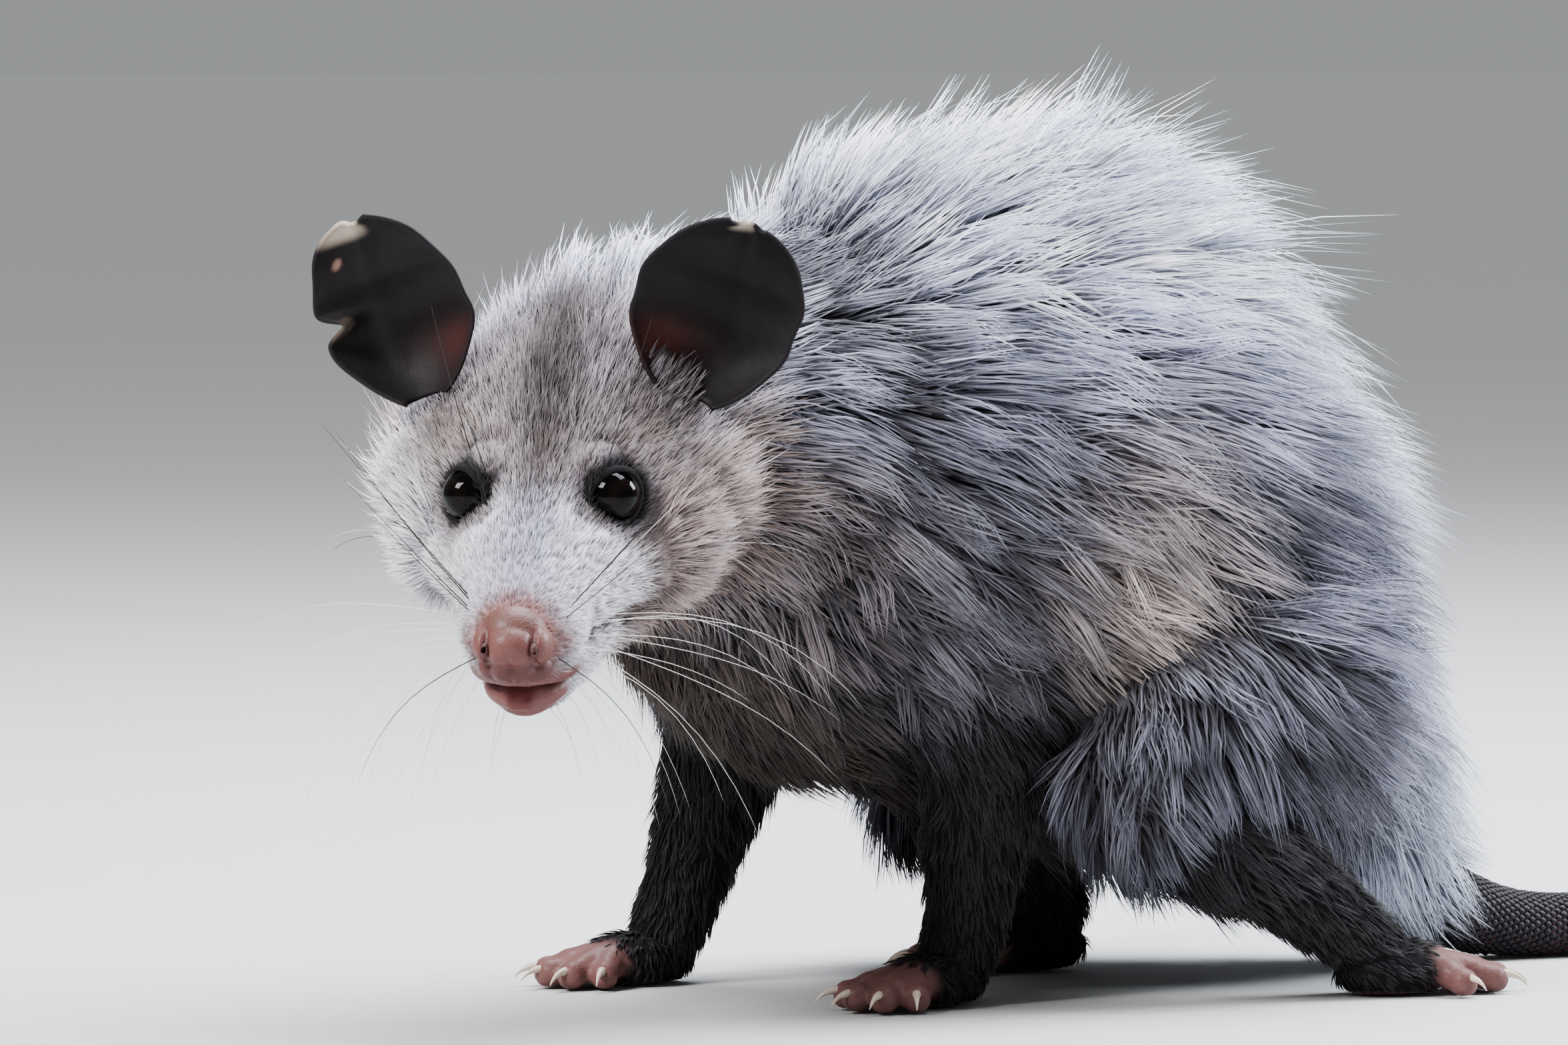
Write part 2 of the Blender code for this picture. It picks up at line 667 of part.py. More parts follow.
# Ruff of the cheeks, fanning back and down from behind the eyes
skull_front, skull_back = SKULL_STATIONS[0][0], SKULL_STATIONS[-1][0]
for x, angle, length, width in RUFF:
    share = (skull_front - x) / (skull_front - skull_back)
    for turn in (math.radians(-angle), math.radians(180 + angle)):
        locks["head"].append(
            Lock(
                skull.point(share, turn),
                skull.normal(share, turn),
                -muzzle - UP * 0.3,
                length * CM * rng.uniform(0.9, 1.1),
                width * CM,
                math.radians(RUFF_LIFT),
                0.12,
            )
        )

# Forms of the head: nose, lower jaw, skull with lids, lips and whisker pads, and ears


def ring(name, centre, facing, radius, thickness):
    """A rounded ring that faces one way, such as the rim of the lids."""
    bpy.ops.mesh.primitive_torus_add(
        major_segments=14,
        minor_segments=5,
        major_radius=radius,
        minor_radius=thickness,
    )
    drawn = bpy.context.object
    mesh = drawn.data.copy()
    bpy.data.objects.remove(drawn, do_unlink=True)
    work = bmesh.new()
    work.from_mesh(mesh)
    turn = Vector(facing).to_track_quat("Z", "Y").to_matrix().to_4x4()
    work.transform(Matrix.Translation(centre) @ turn)
    return closed(work, name)


def ear(side):
    """A thin cup that curls in towards its foot, with a bite out of the right one."""
    left = 1.0 if side == "left" else -1.0
    base_x, base_y, base_z = EAR_BASES[side]
    base = on_head(base_x, base_y * left, base_z)
    mirror = Matrix.Diagonal((1.0, left, 1.0))
    axis = HEAD_AXES @ (mirror @ Vector(EAR_AXIS)).normalized()
    facing = HEAD_AXES @ (mirror @ Vector(EAR_FACING))
    facing = (facing - axis * facing.dot(axis)).normalized()
    across = axis.cross(facing) * left

    def place(s, t):
        """A place on the cup: s from the inner to the outer margin, t up it."""
        widening = 0.42 + 0.58 * math.sin(math.pi / 2 * min(t / 0.55, 1.0)) ** 1.2
        rounding = math.sqrt(max(0.0, 1 - (max(0.0, t - 0.5) / 0.52) ** 2))
        half = EAR_HALF_WIDTH * widening * rounding
        foot_curl, top_curl = EAR_CURL
        curl = math.radians(foot_curl + (top_curl - foot_curl) * min(t * 1.5, 1.0))
        radius = half / math.sin(curl)
        back = radius * (math.cos(s * curl) - math.cos(curl))
        flare = EAR_LENGTH * (0.16 * t - 0.22 * t**2)
        return (
            base
            + axis * EAR_LENGTH * t
            + across * radius * math.sin(s * curl)
            - facing * (back + flare)
        )

    work = bmesh.new()
    bmesh.ops.create_grid(work, x_segments=8, y_segments=7, size=1.0)
    for vertex in work.verts:
        height = 1 - (0.5 - vertex.co.y / 2) ** 1.5
        vertex.co = place(vertex.co.x, height)
    mesh = bpy.data.meshes.new(f"ear_{side}")
    work.to_mesh(mesh)
    work.free()
    made = placed(mesh, f"ear_{side}", EAR_SKIN)
    shell = made.modifiers.new("thickness", "SOLIDIFY")
    shell.thickness = EAR_THICKNESS
    shell.offset = 0.0
    graph = bpy.context.evaluated_depsgraph_get()
    thick = bpy.data.meshes.new_from_object(made.evaluated_get(graph))
    bpy.data.objects.remove(made, do_unlink=True)
    work = bmesh.new()
    work.from_mesh(thick)
    made = closed(work, f"ear_{side}", EAR_SKIN)
    if side == "right":
        bite = ball("bite", place(1.05, NOTCH_HEIGHT), (NOTCH_RADIUS,) * 3, rings=6, around=8)
        combine(made, "DIFFERENCE", [bite])
        remove([bite])
    return made


eyes = {}
lids = []
for side, left in (("left", 1.0), ("right", -1.0)):
    centre = HEAD_POSE @ Vector((-0.1 * CM, EYE_SPREAD * left, 0.0))
    facing = (HEAD_AXES @ (Matrix.Diagonal((1.0, left, 1.0)) @ Vector(LID_FACING))).normalized()
    eyes[side] = ball(
        f"eye_{side}", centre, (EYE_RADIUS,) * 3, EYE_GLOSS, rings=9, around=14
    )
    lids.append(ring("lid", centre + facing * LID_OUT, facing, LID_RADIUS, LID_THICKNESS))

nose = ball("nose", on_head(*NOSE_CENTRE), NOSE_RADII, BARE_PINK, HEAD_AXES, 8, 12)
nostrils = []
for left in (1.0, -1.0):
    x, _, z = NOSE_CENTRE
    for ahead, out in NOSTRIL_PLACES:
        place = on_head(x + ahead, out * left, z + 0.02)
        nostrils.append(ball("nostril", place, (NOSTRIL_RADIUS,) * 3, rings=4, around=6))
nose_clear = swollen(nose)
combine(nose, "DIFFERENCE", nostrils)
remove(nostrils)


def lip(rows, left):
    path = tuple((x, y * left, *rest) for x, y, *rest in rows)
    return Form(path, pose=HEAD_POSE).mesh("lip", None, 5, 6, ends=(0.8, 0.0))


jaw = Form(JAW_STATIONS, grow=SHORT_COAT, pose=HEAD_POSE).mesh(
    "jaw", FACE_FUR, 7, 12, ends=(0.5, 0.3)
)
lower_lips = [lip(LOWER_LIP, 1.0), lip(LOWER_LIP, -1.0)]
jaw_clear = [swollen(piece) for piece in (jaw, *lower_lips)]
combine(jaw, "UNION", lower_lips)
remove(lower_lips)

head = skull.mesh("head", FACE_FUR, 14, 18, ends=(0.35, 0.5), dome_steps=2)
skull_clear = swollen(head)
pads = [
    ball(
        "whisker_pad",
        on_head(WHISKER_PAD[0][0], WHISKER_PAD[0][1] * left, WHISKER_PAD[0][2]),
        WHISKER_PAD[1],
        turn=HEAD_AXES,
        rings=6,
        around=10,
    )
    for left in (1.0, -1.0)
]
upper_lips = [lip(UPPER_LIP, 1.0), lip(UPPER_LIP, -1.0)]
ruff = [made.mesh() for made in locks["head"]]
combine(head, "UNION", [*pads, *lids, *upper_lips, *ruff])
remove([*pads, *lids, *upper_lips, *ruff])
eye_clear = [swollen(eye) for eye in eyes.values()]
combine(head, "DIFFERENCE", [*eye_clear, nose_clear, *jaw_clear])
largest_only(head)
combine(jaw, "DIFFERENCE", [nose_clear])
largest_only(jaw)
remove([*eye_clear, nose_clear])

# Everything already built, with its clearance; each later piece is cut clear of it
taken = [skull_clear, *jaw_clear, *(made.mesh(GAP) for made in locks["head"])]


def fit(piece, own_locks=()):
    """Joins a core with its locks, cuts it clear of what is built and adds it."""
    clear = [swollen(piece), *(made.mesh(GAP) for made in own_locks)]
    grown = [made.mesh() for made in own_locks]
    combine(piece, "UNION", grown)
    remove(grown)
    combine(piece, "DIFFERENCE", taken)
    largest_only(piece)
    taken.extend(clear)
    return piece


ears = [ear(side) for side in ("left", "right")]
ear_clear = [swollen(made) for made in ears]
for made in ears:
    combine(made, "DIFFERENCE", taken)
    largest_only(made)
taken += ear_clear

fit(neck.mesh("neck", GREY_COAT, 7, 18, ends=(0.0, 0.25)), locks["neck"])
for side in ("left", "right"):
    fit(
        haunch[side].mesh(f"thigh_{side}", GREY_COAT, 8, 14, ends=(0.4, KNEE_BULGE)),
        locks[f"thigh_{side}"],
    )
half_gap = GAP / trunk.length
low, high = SPLIT_SHARES
for name, first, last, rings, ends in (
    ("shoulders", 0.0, low - half_gap, 7, (0.6, 0.0)),
    ("back", low + half_gap, high - half_gap, 6, (0.0, 0.0)),
    ("rump", high + half_gap, 1.0, 6, (0.0, 0.3)),
):
    fit(trunk.mesh(name, GREY_COAT, rings, 20, first, last, ends), locks[name])

for side in ("left", "right"):
    fit(legs[side].mesh(f"foreleg_{side}", LEG_FUR, 8, 10, ends=(0.4, 0.0)))
    fit(shanks[side].mesh(f"hindleg_{side}", LEG_FUR, 8, 10, ends=(0.4, 0.0)))


def foot(name, ankle_x, ankle_y, heading, long, wide, high, forward):
    """A plantigrade foot: a palm and five digits, each with its claw."""
    turn = math.radians(heading)
    ahead = Vector((math.cos(turn), math.sin(turn), 0.0))
    axes = Matrix((ahead, UP.cross(ahead), UP)).transposed()
    middle = Vector((ankle_x, ankle_y, 0.0)) * CM + ahead * forward * CM
    middle.z = high * 0.86 * CM
    made = ball(name, middle, Vector((long, wide, high)) * CM, BARE_PINK, axes, 6, 8)
    digit_parts = []
    for angle, length in FOREPAW_DIGITS if name.startswith("fore") else HINDFOOT_DIGITS:
        bearing = turn + math.radians(angle)
        out = Vector((math.cos(bearing), math.sin(bearing), 0.0))
        root = middle + ahead * (long - 0.75) * 0.75 * CM + out * 0.15 * CM
        radius = DIGIT_RADIUS / CM
        path = []
        for reach, z, share in DIGIT_ARCH:
            place = root + out * reach * (length + 0.35) * CM
            path.append((place.x / CM, place.y / CM, z, *(radius * share,) * 3))
        digit_parts.append(Form(path).mesh("digit", None, 4, 5, ends=(0.0, 0.8), dome_steps=2))
        tip = root + out * (length + 0.35) * CM
        claw = []
        for reach, z, size in CLAW_ARCH:
            place = tip + out * (radius * CM * 0.4 + reach * CLAW_LENGTH)
            claw.append((place.x / CM, place.y / CM, z, size, size, size))
        digit_parts.append(Form(claw).mesh("claw", None, 3, 4, ends=(0.0, 0.0)))
    combine(made, "UNION", digit_parts)
    remove(digit_parts)
    return made


floor = block("below_floor", (0.0, 0.0, -5 * CM), (80 * CM, 80 * CM, 5 * CM))
taken.append(floor)
for name, sizes in FEET.items():
    fit(foot(name, *sizes))

tail_gap = GAP / tail.length
for name, first, last, rings, material, ends in (
    ("tail_base", 0.0, TAIL_SPLITS[0], 6, LEG_FUR, (0.3, 0.0)),
    ("tail_middle", TAIL_SPLITS[0] + tail_gap, TAIL_SPLITS[1], 8, TAIL_SKIN, (0.0, 0.0)),
    ("tail_tip", TAIL_SPLITS[1] + tail_gap, 1.0, 8, TAIL_PINK, (0.0, 0.8)),
):
    fit(tail.mesh(name, material, rings, 12, first, last, ends))

# The floor trims whatever hangs lower, and the whole is centred over its origin
for piece in model.objects:
    combine(piece, "DIFFERENCE", [floor])
    largest_only(piece)
    piece.data.shade_smooth()
    piece.data.set_sharp_from_angle(angle=math.radians(38))
remove(taken)

corners = np.array([v.co for piece in model.objects for v in piece.data.vertices])
middle = (corners.min(axis=0) + corners.max(axis=0)) / 2
TO_ORIGIN = Vector((-middle[0], -middle[1], -corners[:, 2].min()))
stand = bpy.data.objects.new("stand", None)
stand.location = TO_ORIGIN
model.objects.link(stand)
for piece in list(model.objects):
    if piece is not stand:
        piece.parent = stand
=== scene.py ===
"""A Virginia opossum at life size, hunched on four feet with its head turned aside:
the looks of the still model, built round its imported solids. Units are metres, with
+Z up, -X ahead of the animal and +Y to its right."""

import json
import math

import bmesh
import bpy
import numpy as np
from mathutils import Matrix, Vector
from mathutils.kdtree import KDTree


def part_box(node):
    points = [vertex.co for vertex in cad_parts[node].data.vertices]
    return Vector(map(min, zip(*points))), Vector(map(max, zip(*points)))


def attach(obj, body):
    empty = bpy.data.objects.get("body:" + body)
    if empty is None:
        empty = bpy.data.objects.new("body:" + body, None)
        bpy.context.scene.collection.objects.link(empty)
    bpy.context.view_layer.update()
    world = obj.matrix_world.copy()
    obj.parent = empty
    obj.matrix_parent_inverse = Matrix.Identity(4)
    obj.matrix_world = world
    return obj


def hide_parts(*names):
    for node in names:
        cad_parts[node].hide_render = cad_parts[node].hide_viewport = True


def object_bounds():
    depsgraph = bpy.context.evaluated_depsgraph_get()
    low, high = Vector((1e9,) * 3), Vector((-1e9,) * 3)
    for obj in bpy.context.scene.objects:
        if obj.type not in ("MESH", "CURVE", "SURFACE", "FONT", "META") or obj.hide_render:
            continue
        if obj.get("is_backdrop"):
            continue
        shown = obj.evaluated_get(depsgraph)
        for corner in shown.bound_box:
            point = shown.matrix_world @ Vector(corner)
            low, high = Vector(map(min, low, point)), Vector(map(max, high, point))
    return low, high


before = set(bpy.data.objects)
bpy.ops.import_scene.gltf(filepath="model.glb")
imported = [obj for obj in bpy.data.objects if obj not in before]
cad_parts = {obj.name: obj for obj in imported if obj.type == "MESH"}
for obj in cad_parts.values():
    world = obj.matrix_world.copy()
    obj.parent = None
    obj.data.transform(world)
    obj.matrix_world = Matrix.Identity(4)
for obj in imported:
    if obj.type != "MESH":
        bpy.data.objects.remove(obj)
cad_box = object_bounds()

# Flesh under the coat. The real animal is skin over fat and muscle: a hunched trunk, a
# short neck, heavy thighs, thin legs, a long skull and a bare tail. Each is a loft
# through ovals that lie inside the solids by the depth of their undercoat.
CM = 0.01
HEAD_TURN, HEAD_PITCH = math.radians(53.5), math.radians(20.0)
EYE_SETBACK = -0.1 * CM
DRAWN_EYES = np.array((-16.76, -6.06, 13.1)) * CM
UP = np.array((0.0, 0.0, 1.0))
SIDES = (("left", 1.0), ("right", -1.0))

head_ahead = np.array((-math.cos(HEAD_TURN), -math.sin(HEAD_TURN), 0.0))
head_left = np.array((math.sin(HEAD_TURN), -math.cos(HEAD_TURN), 0.0))
muzzle_way = head_ahead * math.cos(HEAD_PITCH) - UP * math.sin(HEAD_PITCH)
crown_way = head_ahead * math.sin(HEAD_PITCH) + UP * math.cos(HEAD_PITCH)
HEAD_AXES = np.array((muzzle_way, head_left, crown_way)).T
eye_middle = np.mean([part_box(f"eye_{side}") for side, _ in SIDES], axis=(0, 1))
HEAD_ORIGIN = eye_middle - muzzle_way * EYE_SETBACK
DRAWN_TO_MODEL = HEAD_ORIGIN - DRAWN_EYES

# Stations in centimetres: a place, then half width, height above and depth below it
TRUNK = (
    (-9.4, -0.5, 12.3, 3.5, 4.6, 4.6), (-8.0, -0.2, 12.1, 4.4, 6.3, 5.6),
    (-4.2, 0.1, 11.7, 5.1, 8.4, 6.2), (-0.4, 0.1, 10.7, 5.7, 9.2, 6.3),
    (3.0, 0.0, 9.0, 5.6, 6.5, 6.0), (5.8, 0.0, 6.9, 4.9, 4.5, 4.6),
    (8.2, 0.0, 4.6, 3.5, 2.2, 2.4), (9.9, 0.0, 3.2, 1.9, 1.2, 1.5),
)
NECK = (
    (-7.6, -0.2, 13.6, 4.2, 4.9, 5.3), (-10.0, -0.5, 14.0, 4.0, 4.3, 4.8),
    (-12.4, -1.6, 14.2, 3.5, 3.5, 4.2), (-14.3, -3.4, 13.9, 3.0, 2.8, 3.4),
)
HAUNCH = (
    (6.3, 2.0, 9.6, 2.4, 2.6, 2.6), (4.6, 3.3, 8.0, 3.0, 3.7, 3.9),
    (2.0, 4.7, 6.4, 2.6, 3.2, 3.2), (-0.3, 5.6, 5.2, 1.7, 1.9, 1.9),
)
FORELEG = {
    "left": (
        (-5.8, -2.6, 11.6, 1.9, 2.5, 2.5), (-4.2, -3.5, 8.6, 1.8, 2.1, 2.0),
        (-3.4, -3.7, 6.3, 1.5, 1.6, 1.6), (-3.5, -3.6, 3.8, 1.2, 1.25, 1.25),
        (-3.8, -3.6, 1.7, 1.05, 0.95, 1.0), (-4.1, -3.6, 0.8, 1.0, 0.9, 0.9),
    ),
    "right": (
        (-7.4, 3.0, 11.6, 1.9, 2.5, 2.5), (-6.3, 4.0, 8.6, 1.8, 2.1, 2.0),
        (-6.2, 4.5, 6.3, 1.5, 1.6, 1.6), (-6.9, 4.6, 3.8, 1.2, 1.25, 1.25),
        (-7.7, 4.6, 1.7, 1.05, 0.95, 1.0), (-8.1, 4.6, 0.8, 1.0, 0.9, 0.9),
    ),
}
SHANK = {
    "left": (
        (1.5, -4.8, 6.2, 1.6, 1.6, 1.7), (1.0, -5.4, 5.1, 1.5, 1.5, 1.6),
        (2.4, -6.1, 4.1, 1.4, 1.4, 1.6), (4.2, -6.4, 2.8, 1.1, 1.1, 1.2),
        (5.6, -6.6, 1.7, 0.95, 1.0, 1.0), (6.5, -6.7, 1.1, 0.9, 0.85, 0.9),
    ),
    "right": (
        (0.8, 4.6, 6.2, 1.6, 1.6, 1.7), (0.0, 4.7, 5.0, 1.5, 1.5, 1.6),
        (0.7, 4.2, 3.9, 1.35, 1.4, 1.5), (2.0, 3.3, 2.6, 1.1, 1.1, 1.2),
        (2.4, 2.8, 1.6, 0.95, 1.0, 1.0), (2.0, 2.6, 1.0, 0.9, 0.85, 0.9),
    ),
}
TAIL = (
    (9.0, 0.0, 3.5, 1.75, 1.7, 1.7), (11.3, 0.0, 2.1, 1.25, 1.25, 1.25),
    (14.0, -0.1, 1.0, 0.96, 0.93, 0.96), (19.0, -0.8, 0.79, 0.8, 0.8, 0.82),
    (24.0, -2.2, 0.66, 0.68, 0.68, 0.69), (29.0, -3.2, 0.54, 0.56, 0.56, 0.57),
    (34.0, -3.0, 0.41, 0.43, 0.43, 0.44), (38.0, -1.2, 0.29, 0.30, 0.30, 0.31),
    (40.0, 0.4, 0.2, 0.2, 0.2, 0.21),
)
# Stations on the head: centimetres ahead, left and up from between the eyes
SKULL = (
    (4.9, 0.0, -1.85, 0.75, 0.62, 0.7), (4.1, 0.0, -1.85, 1.02, 1.0, 1.12),
    (3.0, 0.0, -1.7, 1.38, 1.25, 1.35), (1.7, 0.0, -1.45, 1.82, 1.5, 1.65),
    (0.4, 0.0, -1.2, 2.2, 1.85, 1.95), (-1.2, 0.0, -1.3, 3.15, 2.65, 2.5),
    (-2.8, 0.0, -1.4, 3.85, 3.3, 2.9), (-4.4, 0.0, -1.3, 3.8, 3.45, 3.0),
    (-6.2, 0.0, -1.1, 3.2, 2.9, 2.8),
)
JAW = (
    (3.9, 0.0, -3.62, 0.62, 0.34, 0.42), (3.2, 0.0, -3.66, 0.86, 0.42, 0.56),
    (2.0, 0.0, -3.6, 1.15, 0.5, 0.72), (0.6, 0.0, -3.5, 1.5, 0.7, 0.85),
    (-1.0, 0.0, -3.3, 2.2, 1.0, 1.0), (-2.2, 0.0, -3.0, 2.6, 1.2, 1.2),
)
# Ankle x and y, heading in degrees, then the palm's half length, half width, half
# height and distance ahead of the ankle in centimetres
FEET = {
    "forepaw_left": (-4.1, -3.6, 196, 1.35, 1.15, 0.72, 0.8),
    "forepaw_right": (-8.1, 4.6, 184, 1.35, 1.15, 0.72, 0.8),
    "hindfoot_left": (6.3, -6.7, -6, 1.7, 1.0, 0.75, 0.7),
    "hindfoot_right": (2.1, 2.6, 176, 1.9, 1.0, 0.75, 0.7),
}
FORE_DIGITS = ((-58, 0.9), (-27, 1.3), (-4, 1.45), (20, 1.35), (46, 0.95))
HIND_DIGITS = ((-70, 1.0), (-24, 1.35), (-6, 1.5), (12, 1.4), (30, 1.15))
# Share of a digit's length, height of its middle and share of its radius there
DIGIT_BENDS = (
    (0.0, 0.50, 1.0), (0.3, 0.68, 1.0), (0.5, 0.62, 0.92),
    (0.66, 0.52, 1.02), (0.8, 0.44, 0.88), (1.0, 0.36, 0.95),
)
DIGIT_RADIUS, DIGIT_ROOT, PAD_HEIGHT = 0.40, 0.35, 0.36
SOLE_LEVEL = 0.0003
BODY_GRAIN, HEAD_GRAIN, FOOT_GRAIN = 0.0024, 0.00085, 0.0009
FORM_SAMPLES, CAP_STEPS = 64, 4


def norm(vectors):
    return np.linalg.norm(vectors, axis=-1)


def unit(vectors):
    return vectors / np.maximum(np.linalg.norm(vectors, axis=-1, keepdims=True), 1e-12)


def eased(rows, count):
    """Rows read at even steps from a cubic through the given ones."""
    at = np.concatenate([[0.0], np.cumsum(norm(np.diff(rows[:, :3], axis=0)))])
    slope = np.gradient(rows, at, axis=0)
    wanted = np.linspace(0.0, at[-1], count)
    left = np.clip(np.searchsorted(at, wanted, side="right") - 1, 0, len(at) - 2)
    span = (at[left + 1] - at[left])[:, None]
    t = ((wanted - at[left]) / span[:, 0])[:, None]
    return (
        (2 * t**3 - 3 * t**2 + 1) * rows[left]
        + (t**3 - 2 * t**2 + t) * span * slope[left]
        + (3 * t**2 - 2 * t**3) * rows[left + 1]
        + (t**3 - t**2) * span * slope[left + 1]
    )


class Form:
    """A rounded body along a path of ovals, with its own lie of hair read from it."""

    def __init__(self, stations, hint=(0.0, 0.0, 1.0), on_head=False):
        rows = eased(np.array(stations) * CM, FORM_SAMPLES)
        self.centre, self.reach = rows[:, :3], rows[:, 3:6]
        self.along = unit(np.gradient(self.centre, axis=0))
        self.side = unit(np.cross(self.along, np.array(hint)))
        self.rise = np.cross(self.side, self.along)
        if on_head:
            self.centre = self.centre @ HEAD_AXES.T + HEAD_ORIGIN
            self.along = self.along @ HEAD_AXES.T
            self.side = self.side @ HEAD_AXES.T
            self.rise = self.rise @ HEAD_AXES.T
        else:
            self.centre = self.centre + DRAWN_TO_MODEL

    def at(self, values, shares):
        steps = np.linspace(0.0, 1.0, len(values))
        return np.stack([np.interp(shares, steps, column) for column in values.T], axis=-1)

    def way(self, shares):
        return self.at(self.along, shares)

    def points(self, shares, angles, scale=1.0):
        wide, high, low = self.at(self.reach, shares).T * scale
        tall = np.where(np.sin(angles) >= 0, high, low)
        return (
            self.at(self.centre, shares)
            + self.at(self.side, shares) * (wide * np.cos(angles))[:, None]
            + self.at(self.rise, shares) * (tall * np.sin(angles))[:, None]
        )

    def loft(self, work, rings=24, around=28, ends=(0.5, 0.5)):
        """Adds the closed form to a working mesh, with rounded ends."""
        turns = [math.pi / 2 * k / CAP_STEPS for k in range(1, CAP_STEPS)]
        rows = [(0.0, math.cos(turn), -ends[0] * math.sin(turn)) for turn in turns[::-1]]
        rows += [(i / (rings - 1), 1.0, 0.0) for i in range(rings)]
        rows += [(1.0, math.cos(turn), ends[1] * math.sin(turn)) for turn in turns]
        angles = np.arange(around) * 2 * math.pi / around
        loops = []
        for share, scale, push in rows:
            shares = np.full(around, share)
            radius = self.at(self.reach, shares[:1]).mean()
            shift = self.way(shares[:1])[0] * push * radius
            loops.append([work.verts.new(p + shift) for p in self.points(shares, angles, scale)])
        for near, far in zip(loops, loops[1:]):
            bridge(work, near, far)
        work.faces.new(loops[0][::-1])
        work.faces.new(loops[-1])


def bridge(work, near, far):
    """A band of faces between two loops of as many vertices."""
    for k in range(len(near)):
        after = (k + 1) % len(near)
        work.faces.new((near[k], near[after], far[after], far[k]))


def add_ball(work, centre, radii, axes=np.identity(3), around=24):
    """Adds an ellipsoid, with its half sizes in centimetres along the given axes."""
    half_sizes = np.array(radii) * CM
    place = Matrix(axes.tolist()).to_4x4() @ Matrix.Diagonal((*half_sizes, 1.0))
    bmesh.ops.create_uvsphere(
        work,
        u_segments=around,
        v_segments=around // 2,
        radius=1.0,
        matrix=Matrix.Translation(centre.tolist()) @ place,
    )


def on_head(x, y, z):
    """A place given in centimetres ahead, left and up from between the eyes."""
    return HEAD_ORIGIN + HEAD_AXES @ (np.array((x, y, z)) * CM)


def in_head(points):
    """Centimetres ahead, left and up from between the eyes, of model places."""
    return (points - HEAD_ORIGIN) @ HEAD_AXES / CM


def add_head_ball(work, spot, radii, left=1.0, around=24):
    x, y, z = spot
    add_ball(work, on_head(x, y * left, z), radii, HEAD_AXES, around)


def add_head_roll(work, stations, left, **shape):
    """Adds a roll of flesh on one side of the head."""
    Form([(x, y * left, *rest) for x, y, *rest in stations], on_head=True).loft(work, 16, **shape)


def placed(name, data):
    made = bpy.data.objects.new(name, data)
    bpy.context.scene.collection.objects.link(made)
    return made


def finished(name, work):
    """A working mesh as an object, with every face outwards."""
    bmesh.ops.recalc_face_normals(work, faces=work.faces)
    mesh = bpy.data.meshes.new(name)
    work.to_mesh(mesh)
    work.free()
    return placed(name, mesh)


def bake_modifiers(piece):
    """Turns a piece and its modifiers into one plain mesh."""
    graph = bpy.context.evaluated_depsgraph_get()
    mesh = bpy.data.meshes.new_from_object(piece.evaluated_get(graph))
    piece.modifiers.clear()
    piece.data = mesh
    return piece


def soften(piece, rounds):
    smoother = piece.modifiers.new("soften", "SMOOTH")
    smoother.factor = 0.5
    smoother.iterations = rounds
    return bake_modifiers(piece)


def cast(name, work, grain, rounds):
    """Overlapping closed forms as one surface of even grain, smoothed a few times."""
    piece = finished(name, work)
    remesh = piece.modifiers.new("one surface", "REMESH")
    remesh.mode = "VOXEL"
    remesh.voxel_size = grain
    return soften(piece, rounds)


def combine(piece, operation, others):
    """Joins closed pieces to one, or cuts them from it, and removes them."""
    for other in others:
        modifier = piece.modifiers.new("join", "BOOLEAN")
        modifier.operation = operation
        modifier.solver = "MANIFOLD"
        modifier.object = other
    bake_modifiers(piece)
    for other in others:
        bpy.data.objects.remove(other, do_unlink=True)


def read_vectors(rows, name):
    found = np.zeros(len(rows) * 3, np.float32)
    rows.foreach_get(name, found)
    return found.reshape(-1, 3).astype(float)


def vertices(piece):
    return read_vectors(piece.data.vertices, "co")


def vertex_normals(piece):
    return read_vectors(piece.data.vertex_normals, "vector")


def move_vertices(piece, places):
    piece.data.vertices.foreach_set("co", places.astype(np.float32).ravel())
    piece.data.update()


def keep_above(piece, level):
    """Lifts what would sink below a level over the floor."""
    places = vertices(piece)
    places[:, 2] = np.maximum(places[:, 2], level)
    move_vertices(piece, places)


def bump(distance, width):
    """A soft round hill: 1 at no distance, falling away over the width."""
    return np.exp(-((distance / width) ** 2))


forms = {
    "trunk": Form(TRUNK),
    "neck": Form(NECK),
    "skull": Form(SKULL, on_head=True),
    "jaw": Form(JAW, on_head=True),
    "haunch_left": Form([(x, -y, *rest) for x, y, *rest in HAUNCH]),
    "haunch_right": Form(HAUNCH),
    "tail": Form(TAIL),
}
for side, _ in SIDES:
    forms[f"foreleg_{side}"] = Form(FORELEG[side], hint=(-1.0, 0.0, 0.0))
    forms[f"shank_{side}"] = Form(SHANK[side])

# Trunk, neck, thighs, legs and tail in one surface
work = bmesh.new()
for name, form in forms.items():
    if name not in ("skull", "jaw"):
        form.loft(work, rings=40, around=32, ends=(0.5, 0.9 if name == "tail" else 0.5))
skin = cast("skin", work, BODY_GRAIN, 6)

